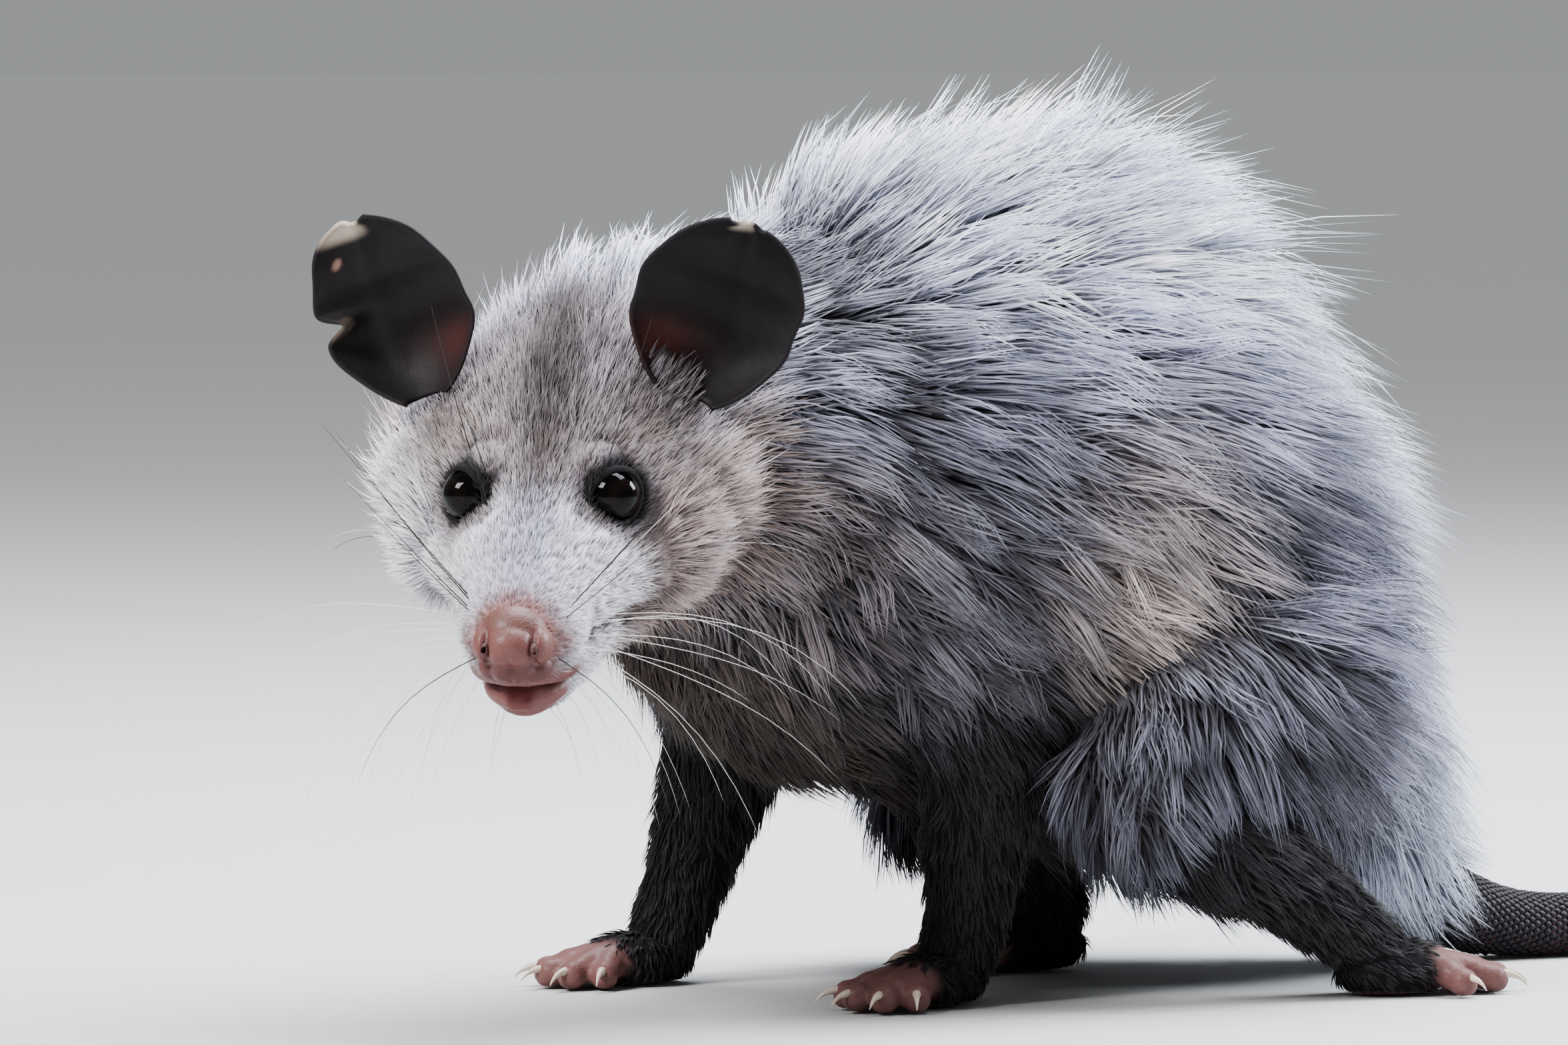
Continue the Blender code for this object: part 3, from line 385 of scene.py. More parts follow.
# Paws: a low palm, five jointed digits with round pads, and knuckles that stand up
digit_tips, digit_ways = [], []
for foot, (x, y, heading, long, wide, high, forward) in FEET.items():
    turn = math.radians(heading)
    ahead = np.array((math.cos(turn), math.sin(turn), 0.0))
    axes = np.array((ahead, np.cross(UP, ahead), UP)).T
    middle = np.array((x, y, 0.0)) * CM + DRAWN_TO_MODEL + ahead * forward * CM
    middle[2] = high * 0.86 * CM
    work = bmesh.new()
    add_ball(work, middle, (long, wide, high), axes)
    heel = middle - ahead * forward * CM
    heel[2] = 0.75 * CM
    add_ball(work, heel, (0.95, 0.88, 0.8), axes)
    for angle, length in FORE_DIGITS if foot.startswith("fore") else HIND_DIGITS:
        bearing = turn + math.radians(angle)
        out = np.array((math.cos(bearing), math.sin(bearing), 0.0))
        root = middle + ahead * (long - 0.75) * 0.75 * CM + out * 0.15 * CM
        path = []
        for reach, z, share in DIGIT_BENDS:
            place = root + out * reach * (length + DIGIT_ROOT) * CM
            place = (place - DRAWN_TO_MODEL) / CM
            path.append((place[0], place[1], z, *(DIGIT_RADIUS * share,) * 3))
        Form(path).loft(work, rings=14, around=14, ends=(0.3, 0.85))
        tip = root + out * (length + DIGIT_ROOT) * CM
        tip[2] = PAD_HEIGHT * CM
        add_ball(work, tip - UP * 0.1 * CM, (0.36, 0.36, 0.25), axes, 14)
        digit_tips.append(tip)
        digit_ways.append(out)
    paw = cast(foot, work, FOOT_GRAIN, 3)
    keep_above(paw, SOLE_LEVEL)
    combine(skin, "UNION", [paw])

# Head of flesh: skull and jaw with cheeks, brows, whisker pads, lips and the sockets
CHEEK = ((-1.9, 2.75, -1.7), (1.9, 1.0, 1.5))
BROW = ((-0.35, 1.35, 0.62), (0.8, 0.62, 0.42))
PAD = ((3.15, 0.78, -1.95), (1.25, 0.72, 0.85))
TONGUE = ((3.62, 0.0, -3.32), (0.85, 0.56, 0.27))
JOWL = (
    (-1.9, 2.55, -1.7, 1.0, 1.0, 1.1), (-0.4, 2.1, -1.75, 0.8, 0.75, 0.95),
    (1.0, 1.55, -1.75, 0.62, 0.68, 0.8), (2.3, 1.1, -1.8, 0.5, 0.6, 0.7),
)
UPPER_LIP = (
    (4.55, 0.12, -2.72, 0.26, 0.26, 0.26), (3.9, 0.85, -2.86, 0.28, 0.28, 0.28),
    (2.6, 1.28, -2.98, 0.24, 0.24, 0.24), (1.0, 1.70, -2.95, 0.12, 0.12, 0.12),
)
LOWER_LIP = (
    (4.3, 0.1, -3.5, 0.24, 0.24, 0.24), (3.8, 0.62, -3.5, 0.24, 0.24, 0.24),
    (2.6, 1.02, -3.4, 0.2, 0.2, 0.2), (1.2, 1.36, -3.3, 0.1, 0.1, 0.1),
)
EYE_RADIUS, EYE_APART = 0.69, 1.72
LID_FACING = np.array((0.72, 0.66, 0.20))
LID_STEPS, LID_SIDES = 40, 8

work = bmesh.new()
forms["skull"].loft(work, rings=40, around=40, ends=(0.35, 0.5))
for _, left in SIDES:
    for spot, radii in (CHEEK, BROW, PAD):
        add_head_ball(work, spot, radii, left)
    add_head_roll(work, UPPER_LIP, left, around=12, ends=(0.8, 0.8))
    add_head_roll(work, JOWL, left, around=20)
head = cast("head_flesh", work, HEAD_GRAIN, 7)
work = bmesh.new()
forms["jaw"].loft(work, rings=30, around=28, ends=(0.5, 0.3))
add_head_ball(work, *TONGUE)
for _, left in SIDES:
    add_head_roll(work, LOWER_LIP, left, around=12, ends=(0.8, 0.8))
jaw = cast("jaw_flesh", work, HEAD_GRAIN, 4)

# Sockets sink round the eyes, and a low fold runs from each eye towards the cheek
places = vertices(head)
normals = vertex_normals(head)
local = in_head(places)
for _, left in SIDES:
    gap = norm(local - np.array((0.05, EYE_APART * left, 0.0)))
    inner = norm(local - np.array((0.95, 1.22 * left, 0.0)))
    crease = norm((local - np.array((1.6, 1.5 * left, -1.0))) * (0.5, 1.0, 1.4))
    for hill, deep in ((bump(gap - 0.95, 0.45), 0.10), (bump(inner, 0.62), 0.30), (bump(crease, 0.5), 0.07)):
        places -= normals * (hill * deep * CM)[:, None]
move_vertices(head, places)
combine(skin, "UNION", [head, jaw])


def eye_facing(left):
    return unit(HEAD_AXES @ (LID_FACING * (1.0, left, 1.0)))


# Lids: dark rolled rims that hug each eyeball, thicker above than below
for _, left in SIDES:
    facing = eye_facing(left)
    eye = HEAD_ORIGIN + HEAD_AXES @ np.array((EYE_SETBACK, EYE_APART * CM * left, 0.0))
    upward = unit(crown_way - facing * (crown_way @ facing))
    across = np.cross(upward, facing)
    work = bmesh.new()
    loops = []
    for k in range(LID_STEPS):
        turn = 2 * math.pi * k / LID_STEPS
        above = max(0.0, math.sin(turn))
        corner = bump(np.array(abs(math.cos(turn)) - 1.0), 0.35)
        ring = (0.66 + 0.05 * corner - 0.02 * above) * CM
        way = across * math.cos(turn) + upward * math.sin(turn)
        seat = eye + way * ring + facing * (0.20 + 0.03 * above - 0.08 * corner) * CM
        thick = (0.085 + 0.03 * above + 0.015 * corner) * CM
        rolls = [2 * math.pi * j / LID_SIDES for j in range(LID_SIDES)]
        ways = [way * math.cos(roll) + facing * math.sin(roll) for roll in rolls]
        loops.append([work.verts.new(seat + out * thick) for out in ways])
    for k in range(LID_STEPS):
        bridge(work, loops[k], loops[(k + 1) % LID_STEPS])
    combine(skin, "UNION", [finished("lid", work)])
keep_above(skin, SOLE_LEVEL)

# Markings. The real coat is grizzled: white hair tips over a black underfur, a white
# face, black legs and a bare tail that is black at its root and pale beyond. The same
# masks colour the skin and every hair that grows from it.
SILVER, SLATE, SOOT = (0.52, 0.53, 0.70), (0.07, 0.065, 0.08), (0.010, 0.008, 0.011)
PINK, MOUTH_RED, TOE_PINK = (0.105, 0.046, 0.044), (0.055, 0.009, 0.0095), (0.10, 0.050, 0.047)
TAIL_SLATE, TAIL_PALE = (0.012, 0.011, 0.015), (0.46, 0.33, 0.285)
TIP_COLOURS = {
    "back": (0.80, 0.82, 1.0),
    # Low on the sides and on the belly the tips are darker: partly the coat's own darker hair, partly
    # painted shade of the underside.
    "low side": (0.056, 0.052, 0.073),
    "lowest side": (0.022, 0.019, 0.021),
    "belly": (0.055, 0.039, 0.033),
    "flank patch": (0.70, 0.57, 0.53),
    "rump": (0.82, 0.88, 1.0),
    "low rump": (0.42, 0.45, 0.60),
    # Low on the shoulder: partly darker hair, partly painted shade of the underside.
    "low shoulder": (0.062, 0.047, 0.043),
    # Painted shade in the hollow behind the ear, over some darker coat of the saddle
    "dark coat and painted shade behind the ear": (0.06, 0.053, 0.066),
    # Low on the thigh: partly darker hair, partly painted shade of the underside.
    "low thigh": (0.030, 0.027, 0.038),
    "leg": SOOT,
    "beige": (0.35, 0.24, 0.18),
    "white": (0.90, 0.87, 0.93),
    "crown": (0.24, 0.195, 0.20),
    "foot of the ear": (0.27, 0.215, 0.20),
    "brow streak": (0.062, 0.042, 0.036),
    "crown streak": (0.05, 0.04, 0.043),
    "smudge round the eye": (0.17, 0.135, 0.155),
    "lid": (0.006, 0.005, 0.006),
    "tear mark": (0.30, 0.23, 0.24),
    "muzzle": (0.32, 0.31, 0.42),
    "edge of the nose": (0.28, 0.12, 0.105),
}
READ_AT_ONCE = 8192


def ease(low, high, values):
    """A soft step from 0 at the low value to 1 at the high one."""
    t = np.clip((values - low) / (high - low), 0.0, 1.0)
    return t * t * (3 - 2 * t)


def read_form(form, points):
    """Share along, angle round and height over a form, for each point."""
    rows = []
    for start in range(0, len(points), READ_AT_ONCE):
        some = points[start : start + READ_AT_ONCE]
        nearest = ((some[:, None, :] - form.centre[None]) ** 2).sum(axis=2).argmin(axis=1)
        offset = some - form.centre[nearest]
        wide, high, low = form.reach[nearest].T
        across, rise, ahead = (
            (offset * axis[nearest]).sum(axis=1) for axis in (form.side, form.rise, form.along)
        )
        tall = np.where(rise > 0, high, low)
        size = (wide + high + low) / 3
        span = np.sqrt((across / wide) ** 2 + (rise / tall) ** 2 + (ahead / size) ** 2)
        share = nearest / (len(form.centre) - 1)
        rows.append((share, np.arctan2(rise / tall, across / wide), (span - 1) * size))
    return [np.concatenate(parts) for parts in zip(*rows)]


def survey(points):
    """How much each point belongs to each form, and where it lies on it."""
    found = {name: read_form(form, points) for name, form in forms.items()}
    heights = np.stack([found[name][2] for name in forms])
    on_crown = ease(-5.4, -4.0, in_head(points)[:, 0])
    for k, name in enumerate(forms):
        if name in ("trunk", "neck"):
            heights[k] += on_crown * 1.4 * CM
    weights = np.exp(-(heights - heights.min(axis=0)) / (0.5 * CM))
    weights /= weights.sum(axis=0)
    return {name: (*found[name][:2], weights[k]) for k, name in enumerate(forms)}


def mixed(colours, other, share):
    return colours + (np.array(other) - colours) * np.clip(share, 0.0, 1.0)[:, None]


def eye_spread(points):
    """Centimetres from the axis that the nearer eye looks along; far for other places."""
    local = in_head(points)
    spread = np.full(len(points), 9.0)
    for _, left in SIDES:
        facing = unit(LID_FACING * (1.0, left, 1.0))
        offset = local - (-0.1, EYE_APART * left, 0.0)
        ahead = offset @ facing
        apart = norm(offset - ahead[:, None] * facing)
        spread = np.where(np.abs(ahead) < 1.1, np.minimum(spread, apart), spread)
    return spread


def markings(points, where):
    """Colour of the hair tips, and how dark their roots are, at places on the skin."""
    on_face = where["skull"][2] + where["jaw"][2]
    x, y, z = in_head(points).T
    drawn = (points - DRAWN_TO_MODEL) / CM
    behind, height = drawn[:, 0], drawn[:, 2]
    tips = np.tile(np.array(SILVER), (len(points), 1))
    depth = np.full(len(points), 1.0)

    def lay(name, cover):
        nonlocal tips
        tips = mixed(tips, TIP_COLOURS[name], cover)

    share, angle, weight = where["trunk"]
    top = np.clip(np.sin(angle), 0.0, 1.0)
    under = np.clip(-np.sin(angle), 0.0, 1.0)
    lay("back", ease(0.45, 0.85, top) * 0.95)
    # Low on the sides and on the belly the tips darken: partly darker hair, partly painted shade of the
    # underside.
    lay("low side", ease(18.0, 12.0, height) * ease(0.95, 0.55, top) * weight * 0.92)
    lay("lowest side", ease(13.0, 9.5, height) * ease(0.5, -2.0, behind) * weight * 0.9)
    lay("belly", ease(0.35, 0.9, under) * weight * 0.85)
    patch = bump(norm((drawn - (-1.2, 0.0, 10.2)) * (0.48, 0.0, 0.25)), 1.0)
    patch = patch * ease(0.95, 0.6, top) * ease(0.9, 0.5, under)
    lay("flank patch", patch * weight * 0.92)
    rump = ease(0.70, 0.95, share) * weight
    lay("rump", rump * 0.95)
    lay("low rump", rump * ease(9.0, 5.5, height) * 0.8)
    depth -= 0.6 * ease(0.4, 0.9, under) * weight + 0.4 * patch * weight
    depth -= 0.35 * ease(0.55, 0.9, top) * weight + 0.5 * rump

    shoulder = where["neck"][2] + where["foreleg_left"][2] + where["foreleg_right"][2]
    # Low on the shoulder the tips darken: partly darker hair, partly painted shade.
    lay("low shoulder", ease(17.0, 11.5, height) * shoulder * 0.92)
    # Behind the ear the tips darken: painted shade of the hollow there, over some darker coat of the saddle.
    hollow = norm((drawn - (-9.3, -3.0, 17.2)) * (0.42, 0.30, 0.46))
    lay("dark coat and painted shade behind the ear", bump(hollow, 1.0) * (1 - on_face) * 0.9)
    for side, _ in SIDES:
        weight = where[f"haunch_{side}"][2]
        # Low on the thigh the tips darken: partly darker hair, partly painted shade.
        lay("low thigh", weight * ease(12.5, 7.5, height) * ease(8.0, 4.5, behind) * 0.95)
        black = ease(9.2, 7.0, height) * ease(0.1, 0.35, where[f"foreleg_{side}"][2])
        lay("leg", black)
        depth = depth * (1 - black)
        share, angle, weight = where[f"shank_{side}"]
        black = ease(0.05, 0.25, share) * ease(0.1, 0.4, weight)
        lay("leg", black)
        depth = depth * (1 - black)

    throat = where["neck"][2] * ease(0.35, -0.5, np.sin(where["neck"][1]))
    lay("beige", throat * 0.9)
    depth = depth - 0.5 * throat
    lay("beige", ease(0.3, 0.7, on_face) * ease(1.0, -0.4, z) * 0.8)
    # On the left side the white stops further forward, so that cheek takes the darker coat colour: painted
    # shade of the side of the face away from the light.
    end_of_white = np.where(y > 0, 0.5, -3.4)
    lay("white", ease(0.35, 0.75, on_face) * ease(-0.6, 0.6, x - end_of_white))
    depth = np.where(on_face > 0.5, depth * 0.15, depth)
    crown = ease(1.9, 0.2, x) * ease(-0.1, 0.7, z) * on_face
    lay("crown", crown * 0.95)
    depth = depth + crown * 0.45
    side = np.abs(y)
    ear_foot = bump(norm(np.stack([x + 1.6, side - 2.4, z - 0.5], 1)), 1.5)
    lay("foot of the ear", ear_foot * on_face * 0.9)
    streak = bump(y, 0.60 + 0.04 * np.clip(-x, 0.0, 3.0)) * ease(2.7, 1.5, x)
    streak = streak * ease(-6.5, -4.0, x) * ease(-0.2, 0.3, z)
    lay("brow streak", streak * on_face * 0.92)
    lay("crown streak", streak * ease(-0.6, -1.8, x) * on_face * 0.95)
    smudge = eye_spread(points + crown_way * 0.14 * CM)
    lay("smudge round the eye", ease(1.35, 0.85, smudge) * on_face * 0.75)
    rim = ease(0.93, 0.81, eye_spread(points)) * on_face
    lay("lid", rim)
    depth = depth * (1 - rim)
    tear = norm(np.stack([(x - 0.9) * 0.7, side - 1.25, z + 0.75], 1))
    lay("tear mark", bump(tear, 0.4) * on_face * 0.7)
    lay("muzzle", bump(y, 1.1) * ease(0.6, 2.0, x) * on_face * 0.85)
    lay("edge of the nose", ease(3.7, 4.5, x) * on_face)

    share, angle, weight = where["tail"]
    lay("leg", ease(0.35, 0.8, weight) * ease(0.01, 0.05, share))
    return tips, np.clip(depth, 0.0, 1.0)


def bare_parts(points, where):
    """Where the skin shows bare: 1 on toes, lips, nose and tail, and its colour there."""
    x, y, z = in_head(points).T
    drawn = (points - DRAWN_TO_MODEL) / CM
    on_muzzle = ease(0.3, 0.6, where["skull"][2] + where["jaw"][2])
    colour = np.tile(np.array(PINK), (len(points), 1))
    open_width = 0.17 + 0.15 * ease(3.1, 4.1, x)
    lips = bump((z + 3.12 - 0.06 * np.clip(3.0 - x, 0.0, 3.0)) / open_width, 1.0)
    lips = lips * ease(0.4, 1.6, x) * (0.3 + 0.7 * ease(1.05, 0.6, np.abs(y)))
    chin = ease(2.9, 3.7, x) * ease(-2.5, -2.9, z)
    bare = np.maximum(lips, chin) * on_muzzle
    inside = bump(z + 3.35, 0.28) * ease(0.9, 0.5, np.abs(y) / (1.9 - 0.33 * x).clip(0.35))
    colour = mixed(colour, MOUTH_RED, inside)
    bare = np.maximum(bare, ease(4.5, 4.9, x) * on_muzzle)
    for foot_x, foot_y, heading, _, _, _, forward in FEET.values():
        turn = math.radians(heading)
        apart_x, apart_y = drawn[:, 0] - foot_x, drawn[:, 1] - foot_y
        ahead = apart_x * math.cos(turn) + apart_y * math.sin(turn)
        beside = -apart_x * math.sin(turn) + apart_y * math.cos(turn)
        near = (np.hypot(ahead - 1.2, beside) < 3.6) & (drawn[:, 2] < 1.9)
        toes = ease(forward + 0.68, forward + 1.15, ahead + 0.25 * np.abs(beside)) * near
        sole = ease(0.16, 0.08, drawn[:, 2]) * near * (ahead > -1.0)
        bare = np.maximum(bare, np.maximum(toes, sole))
        colour = mixed(colour, TOE_PINK, np.maximum(toes, sole))
    share, angle, weight = where["tail"]
    tail = ease(0.4, 0.8, weight)
    bare = np.maximum(bare, tail * ease(0.06, 0.12, share))
    tail_colour = np.tile(np.array(SOOT), (len(points), 1))
    tail_colour = mixed(tail_colour, TAIL_SLATE, ease(0.14, 0.30, share))
    tail_colour = mixed(tail_colour, TAIL_PALE, ease(0.46, 0.62, share))
    return bare, colour + (tail_colour - colour) * tail[:, None]


def paint(piece, name, colours):
    """Stores a colour for each vertex of a piece."""
    layer = piece.data.attributes.new(name, "FLOAT_COLOR", "POINT")
    filled = np.concatenate([np.clip(colours, 0.0, 1.0), np.ones((len(colours), 1))], axis=1)
    layer.data.foreach_set("color", filled.astype(np.float32).ravel())


def store(piece, name, values):
    layer = piece.data.attributes.new(name, "FLOAT", "POINT")
    layer.data.foreach_set("value", values.astype(np.float32))


skin_places = vertices(skin)
skin_where = survey(skin_places)
skin_tips, skin_depth = markings(skin_places, skin_where)
skin_bare, bare_colour = bare_parts(skin_places, skin_where)
head_share = skin_where["skull"][2] + skin_where["jaw"][2]
furred = mixed(skin_tips * (0.4 + 0.4 * head_share)[:, None], SLATE, skin_depth * 0.85)
paint(skin, "skin_tint", furred + (bare_colour - furred) * skin_bare[:, None])
store(skin, "bare", skin_bare)


class Signal:
    """A socket of a tree that is being drawn; sums and products add nodes."""

    def __init__(self, tree, socket=None):
        self.tree, self.socket = tree, socket

    def node(self, kind, sockets=None, output=0, **settings):
        made = self.tree.nodes.new(kind)
        for key, value in settings.items():
            setattr(made, key, value)
        for key, value in (sockets or {}).items():
            if isinstance(value, Signal):
                self.tree.links.new(value.socket, made.inputs[key])
            else:
                made.inputs[key].default_value = value
        return Signal(self.tree, made.outputs[output])

    def math(self, operation, first, second):
        return self.node("ShaderNodeMath", {0: first, 1: second}, operation=operation)

    def __add__(self, other):
        return self.math("ADD", self, other)

    def __radd__(self, other):
        return self.math("ADD", other, self)

    def __sub__(self, other):
        return self.math("SUBTRACT", self, other)

    def __rsub__(self, other):
        return self.math("SUBTRACT", other, self)

    def __mul__(self, other):
        return self.math("MULTIPLY", self, other)

    def __rmul__(self, other):
        return self.math("MULTIPLY", other, self)

    def place(self):
        return self.node("ShaderNodeTexCoord", output="Object")

    def noise(self, scale, detail, roughness=0.55):
        values = {"Vector": self.place(), "Scale": scale, "Detail": detail, "Roughness": roughness}
        return self.node("ShaderNodeTexNoise", values)

    def stored(self, name, output="Color"):
        return self.node("ShaderNodeAttribute", output=output, attribute_name=name)

    def blend(self, share, first, second, mode="MIX"):
        colours = (part if isinstance(part, Signal) else (*part, 1.0) for part in (first, second))
        sockets = dict(zip((0, 6, 7), (share, *colours)))
        return self.node("ShaderNodeMix", sockets, 2, data_type="RGBA", blend_type=mode)

    def shaded(self, name, grain, darkest, lightest):
        """A stored colour that grows lighter and darker with the grain."""
        values = {"Value": grain, "To Min": darkest, "To Max": lightest}
        shade = self.node("ShaderNodeMapRange", values)
        return self.blend(1.0, self.stored(name), shade, "MULTIPLY")

    def bumps(self, height, strength, distance, **under):
        values = {"Height": height, "Strength": strength, "Distance": distance, **under}
        return self.node("ShaderNodeBump", values)


def new_material(name, **constants):
    """A material with its shader's steady values set; returns it with its first signal."""
    material = bpy.data.materials.new(name)
    material.use_nodes = True
    shader = material.node_tree.nodes["Principled BSDF"]
    for key, value in constants.items():
        shader.inputs[key.replace("_", " ")].default_value = value
    return material, Signal(material.node_tree)


def drive(material, **signals):
    """Links varying signals to the shader's sockets."""
    shader = material.node_tree.nodes["Principled BSDF"]
    for key, signal in signals.items():
        material.node_tree.links.new(signal.socket, shader.inputs[key.replace("_", " ")])


def dress(piece, material, slot, *nodes):
    """Finishes a piece: its material, its body and the nodes it stands for; the slot is not used."""
    piece.data.shade_smooth()
    piece.data.materials.clear()
    piece.data.materials.append(material)
    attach(piece, "root")
    if nodes:
        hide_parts(*nodes)


skin_material, draw = new_material("skin under the coat", Specular_IOR_Level=0.12, Coat_Roughness=0.3)
bare = draw.stored("bare", "Fac")
mottle = draw.noise(420.0, 4.0)
broad = draw.noise(60.0, 2.0)
fine_hair = draw.noise(1600.0, 2.0)
base = draw.shaded("skin_tint", mottle, 0.72, 1.22)
warm = draw.blend(broad * bare * 0.5, base, (0.36, 0.10, 0.085))
creases = draw.bumps(mottle, 0.35, 0.0006)
drive(
    skin_material,
    Base_Color=draw.blend(bare * 0.4, base, warm),
    Roughness=0.9 - bare * 0.35,
    Coat_Weight=bare * 0.12,
    Normal=draw.bumps(fine_hair, 0.5, 0.0004, Normal=creases),
)
dress(
    skin, skin_material, "grey_coat", "head", "jaw", "neck", "shoulders", "back", "rump",
    *(f"{part}_{side}" for part in ("thigh", "foreleg", "hindleg", "forepaw", "hindfoot")
      for side, _ in SIDES),
    "tail_base", "tail_middle", "tail_tip",
)

# Nose. A broad wet pad of bare pink skin: a round front bulb between two wings, comma
# nostrils that open to the sides, and a groove that runs down into the upper lip.
NOSE_GRAIN = 0.00034
NOSE_PIECES = (
    ((5.0, 0.0, -1.72), (0.55, 0.62, 0.50)),
    ((4.75, 0.62, -1.80), (0.55, 0.34, 0.46)),
    ((4.45, 0.0, -1.55), (0.75, 0.80, 0.60)),
    ((4.85, 0.24, -2.25), (0.42, 0.34, 0.46)),
    ((4.55, 0.45, -2.45), (0.45, 0.45, 0.36)),
    ((5.07, 0.26, -1.80), (0.42, 0.32, 0.34)),
    ((4.86, 0.0, -2.36), (0.42, 0.44, 0.38)),
)
NOSTRIL, NOSTRIL_SIZE = (5.18, 0.60, -1.76), (0.12, 0.05, 0.12)
NOSE_PINK, NOSE_LOW, NOSE_TOP = (0.110, 0.034, 0.030), (0.052, 0.0095, 0.009), (0.06, 0.026, 0.018)
NOSE_DARK, NOSE_FLUSH = (0.036, 0.009, 0.008), (0.16, 0.066, 0.057)
work = bmesh.new()
for spot, radii in NOSE_PIECES:
    for left in (1.0, -1.0) if spot[1] else (1.0,):
        add_head_ball(work, spot, radii, left)
nose = cast("nose_pad", work, NOSE_GRAIN, 14)
cuts = bmesh.new()
for _, left in SIDES:
    add_head_ball(cuts, NOSTRIL, NOSTRIL_SIZE, left, 16)
combine(nose, "DIFFERENCE", [cast("nostrils", cuts, NOSE_GRAIN, 1)])
places = vertices(nose)
local = in_head(places)
ahead, beside, height = local.T
groove = bump(beside, 0.07) * ease(4.9, 5.2, ahead) * ease(-1.5, -2.0, height)
fold = bump(np.abs(beside) - 0.58, 0.09) * ease(4.6, 4.95, ahead)
fold = fold * ease(-1.3, -1.5, height) * ease(-2.4, -2.1, height)
places -= vertex_normals(nose) * ((groove * 0.05 + fold * 0.085) * CM)[:, None]
move_vertices(nose, places)
x, y, z = NOSTRIL
gaps = [norm((local - (x, y * left, z)) / np.array(NOSTRIL_SIZE)) for _, left in SIDES]
nose_colour = np.tile(np.array(NOSE_PINK), (len(places), 1))
nose_colour = mixed(nose_colour, NOSE_LOW, ease(-1.95, -2.4, height) * 0.95)
nose_colour = mixed(nose_colour, NOSE_TOP, bump(height + 1.15, 0.22) * 0.7)
hole = ease(1.3, 0.95, np.minimum(*gaps))
nose_colour = mixed(nose_colour, NOSE_DARK, np.maximum(hole, fold * 0.75))
paint(nose, "skin_tint", nose_colour)

nose_material, draw = new_material(
    "wet nose skin", Coat_Weight=0.07, Coat_Roughness=0.2, Specular_IOR_Level=0.25,
    Subsurface_Weight=0.08, Subsurface_Scale=0.003,
)
pores = draw.node("ShaderNodeTexVoronoi", {"Vector": draw.place(), "Scale": 1500.0})
flush = draw.noise(260.0, 3.0)
drive(
    nose_material,
    Base_Color=draw.blend(flush * 0.25, draw.stored("skin_tint"), NOSE_FLUSH),
    Roughness=0.42 + flush * 0.25,
    Normal=draw.bumps(pores, 0.35, 0.0003),
)
dress(nose, nose_material, "bare_pink", "nose")

# Eyes. Round and all but black, they bulge from the lids, with a clear wet cornea over
# a dark brown iris that shows only in strong light.
EYE_BLACK, IRIS_BROWN, CORNEA_RISE = (0.0006, 0.0005, 0.0006), (0.004, 0.002, 0.0015), 0.035
eye_material, draw = new_material(
    "wet dark eye", Roughness=0.04, Coat_Weight=0.04, Coat_Roughness=0.01,
    Specular_IOR_Level=0.08,
)
iris = draw.stored("iris", "Fac") * (0.35 + draw.noise(900.0, 3.0) * 0.5)
drive(eye_material, Base_Color=draw.blend(iris, EYE_BLACK, IRIS_BROWN))
for side, left in SIDES:
    centre = np.mean(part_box(f"eye_{side}"), axis=0)
    work = bmesh.new()
    add_ball(work, centre, (EYE_RADIUS,) * 3, around=56)
    eye = finished(f"eyeball_{side}", work)
    places = vertices(eye)
    out = unit(places - centre)
    forward = out @ eye_facing(left)
    move_vertices(eye, places + out * (ease(0.7, 1.0, forward) * CORNEA_RISE * CM)[:, None])
    store(eye, "iris", ease(0.72, 0.80, forward) * ease(0.97, 0.93, forward))
    dress(eye, eye_material, "eye", f"eye_{side}")

# Ears. Thin bare leather, black with a wine-red glow low in the cup; old frost has
# bitten the rims pale, and the right ear has a deep notch in its outer margin.
EAR_BASES = {"left": (-3.5, 3.1, 1.05), "right": (-3.5, 3.4, 1.05)}
EAR_AXIS = np.array((-0.16, 0.36, 1.0))
EAR_FACING = np.array((0.93, 0.26, 0.22))
EAR_LENGTH, EAR_HALF_WIDTH, EAR_THICKNESS = 4.75 * CM, 2.05 * CM, 0.11 * CM
EAR_CURL = (84.0, 36.0)
EAR_ROWS, EAR_COLUMNS = 84, 56
NOTCH_HEIGHT, NOTCH_DEPTH = 0.50, 0.34
EAR_BLACK, EAR_MOTTLE, EAR_GLOW = (0.005, 0.004, 0.005), (0.010, 0.007, 0.008), (0.070, 0.015, 0.011)
FROST, FROST_SPOT, SCAR = (0.50, 0.41, 0.33), (0.30, 0.17, 0.13), (0.10, 0.075, 0.06)
# For each ear: strength of the glow, middle and size of the frosted rim, torn or not
EAR_WEAR = {"left": (0.8, -0.1, 0.28, False), "right": (0.4, 0.45, 0.62, True)}

ear_material, draw = new_material("black ear leather", Specular_IOR_Level=0.14)
mottle = draw.noise(330.0, 4.0)
wrinkle = draw.noise(120.0, 5.0, 0.65)
drive(
    ear_material,
    Base_Color=draw.blend(mottle * 0.35, draw.stored("skin_tint"), EAR_MOTTLE),
    Roughness=0.5 + wrinkle * 0.3,
    Normal=draw.bumps(wrinkle, 0.4, 0.0012),
)


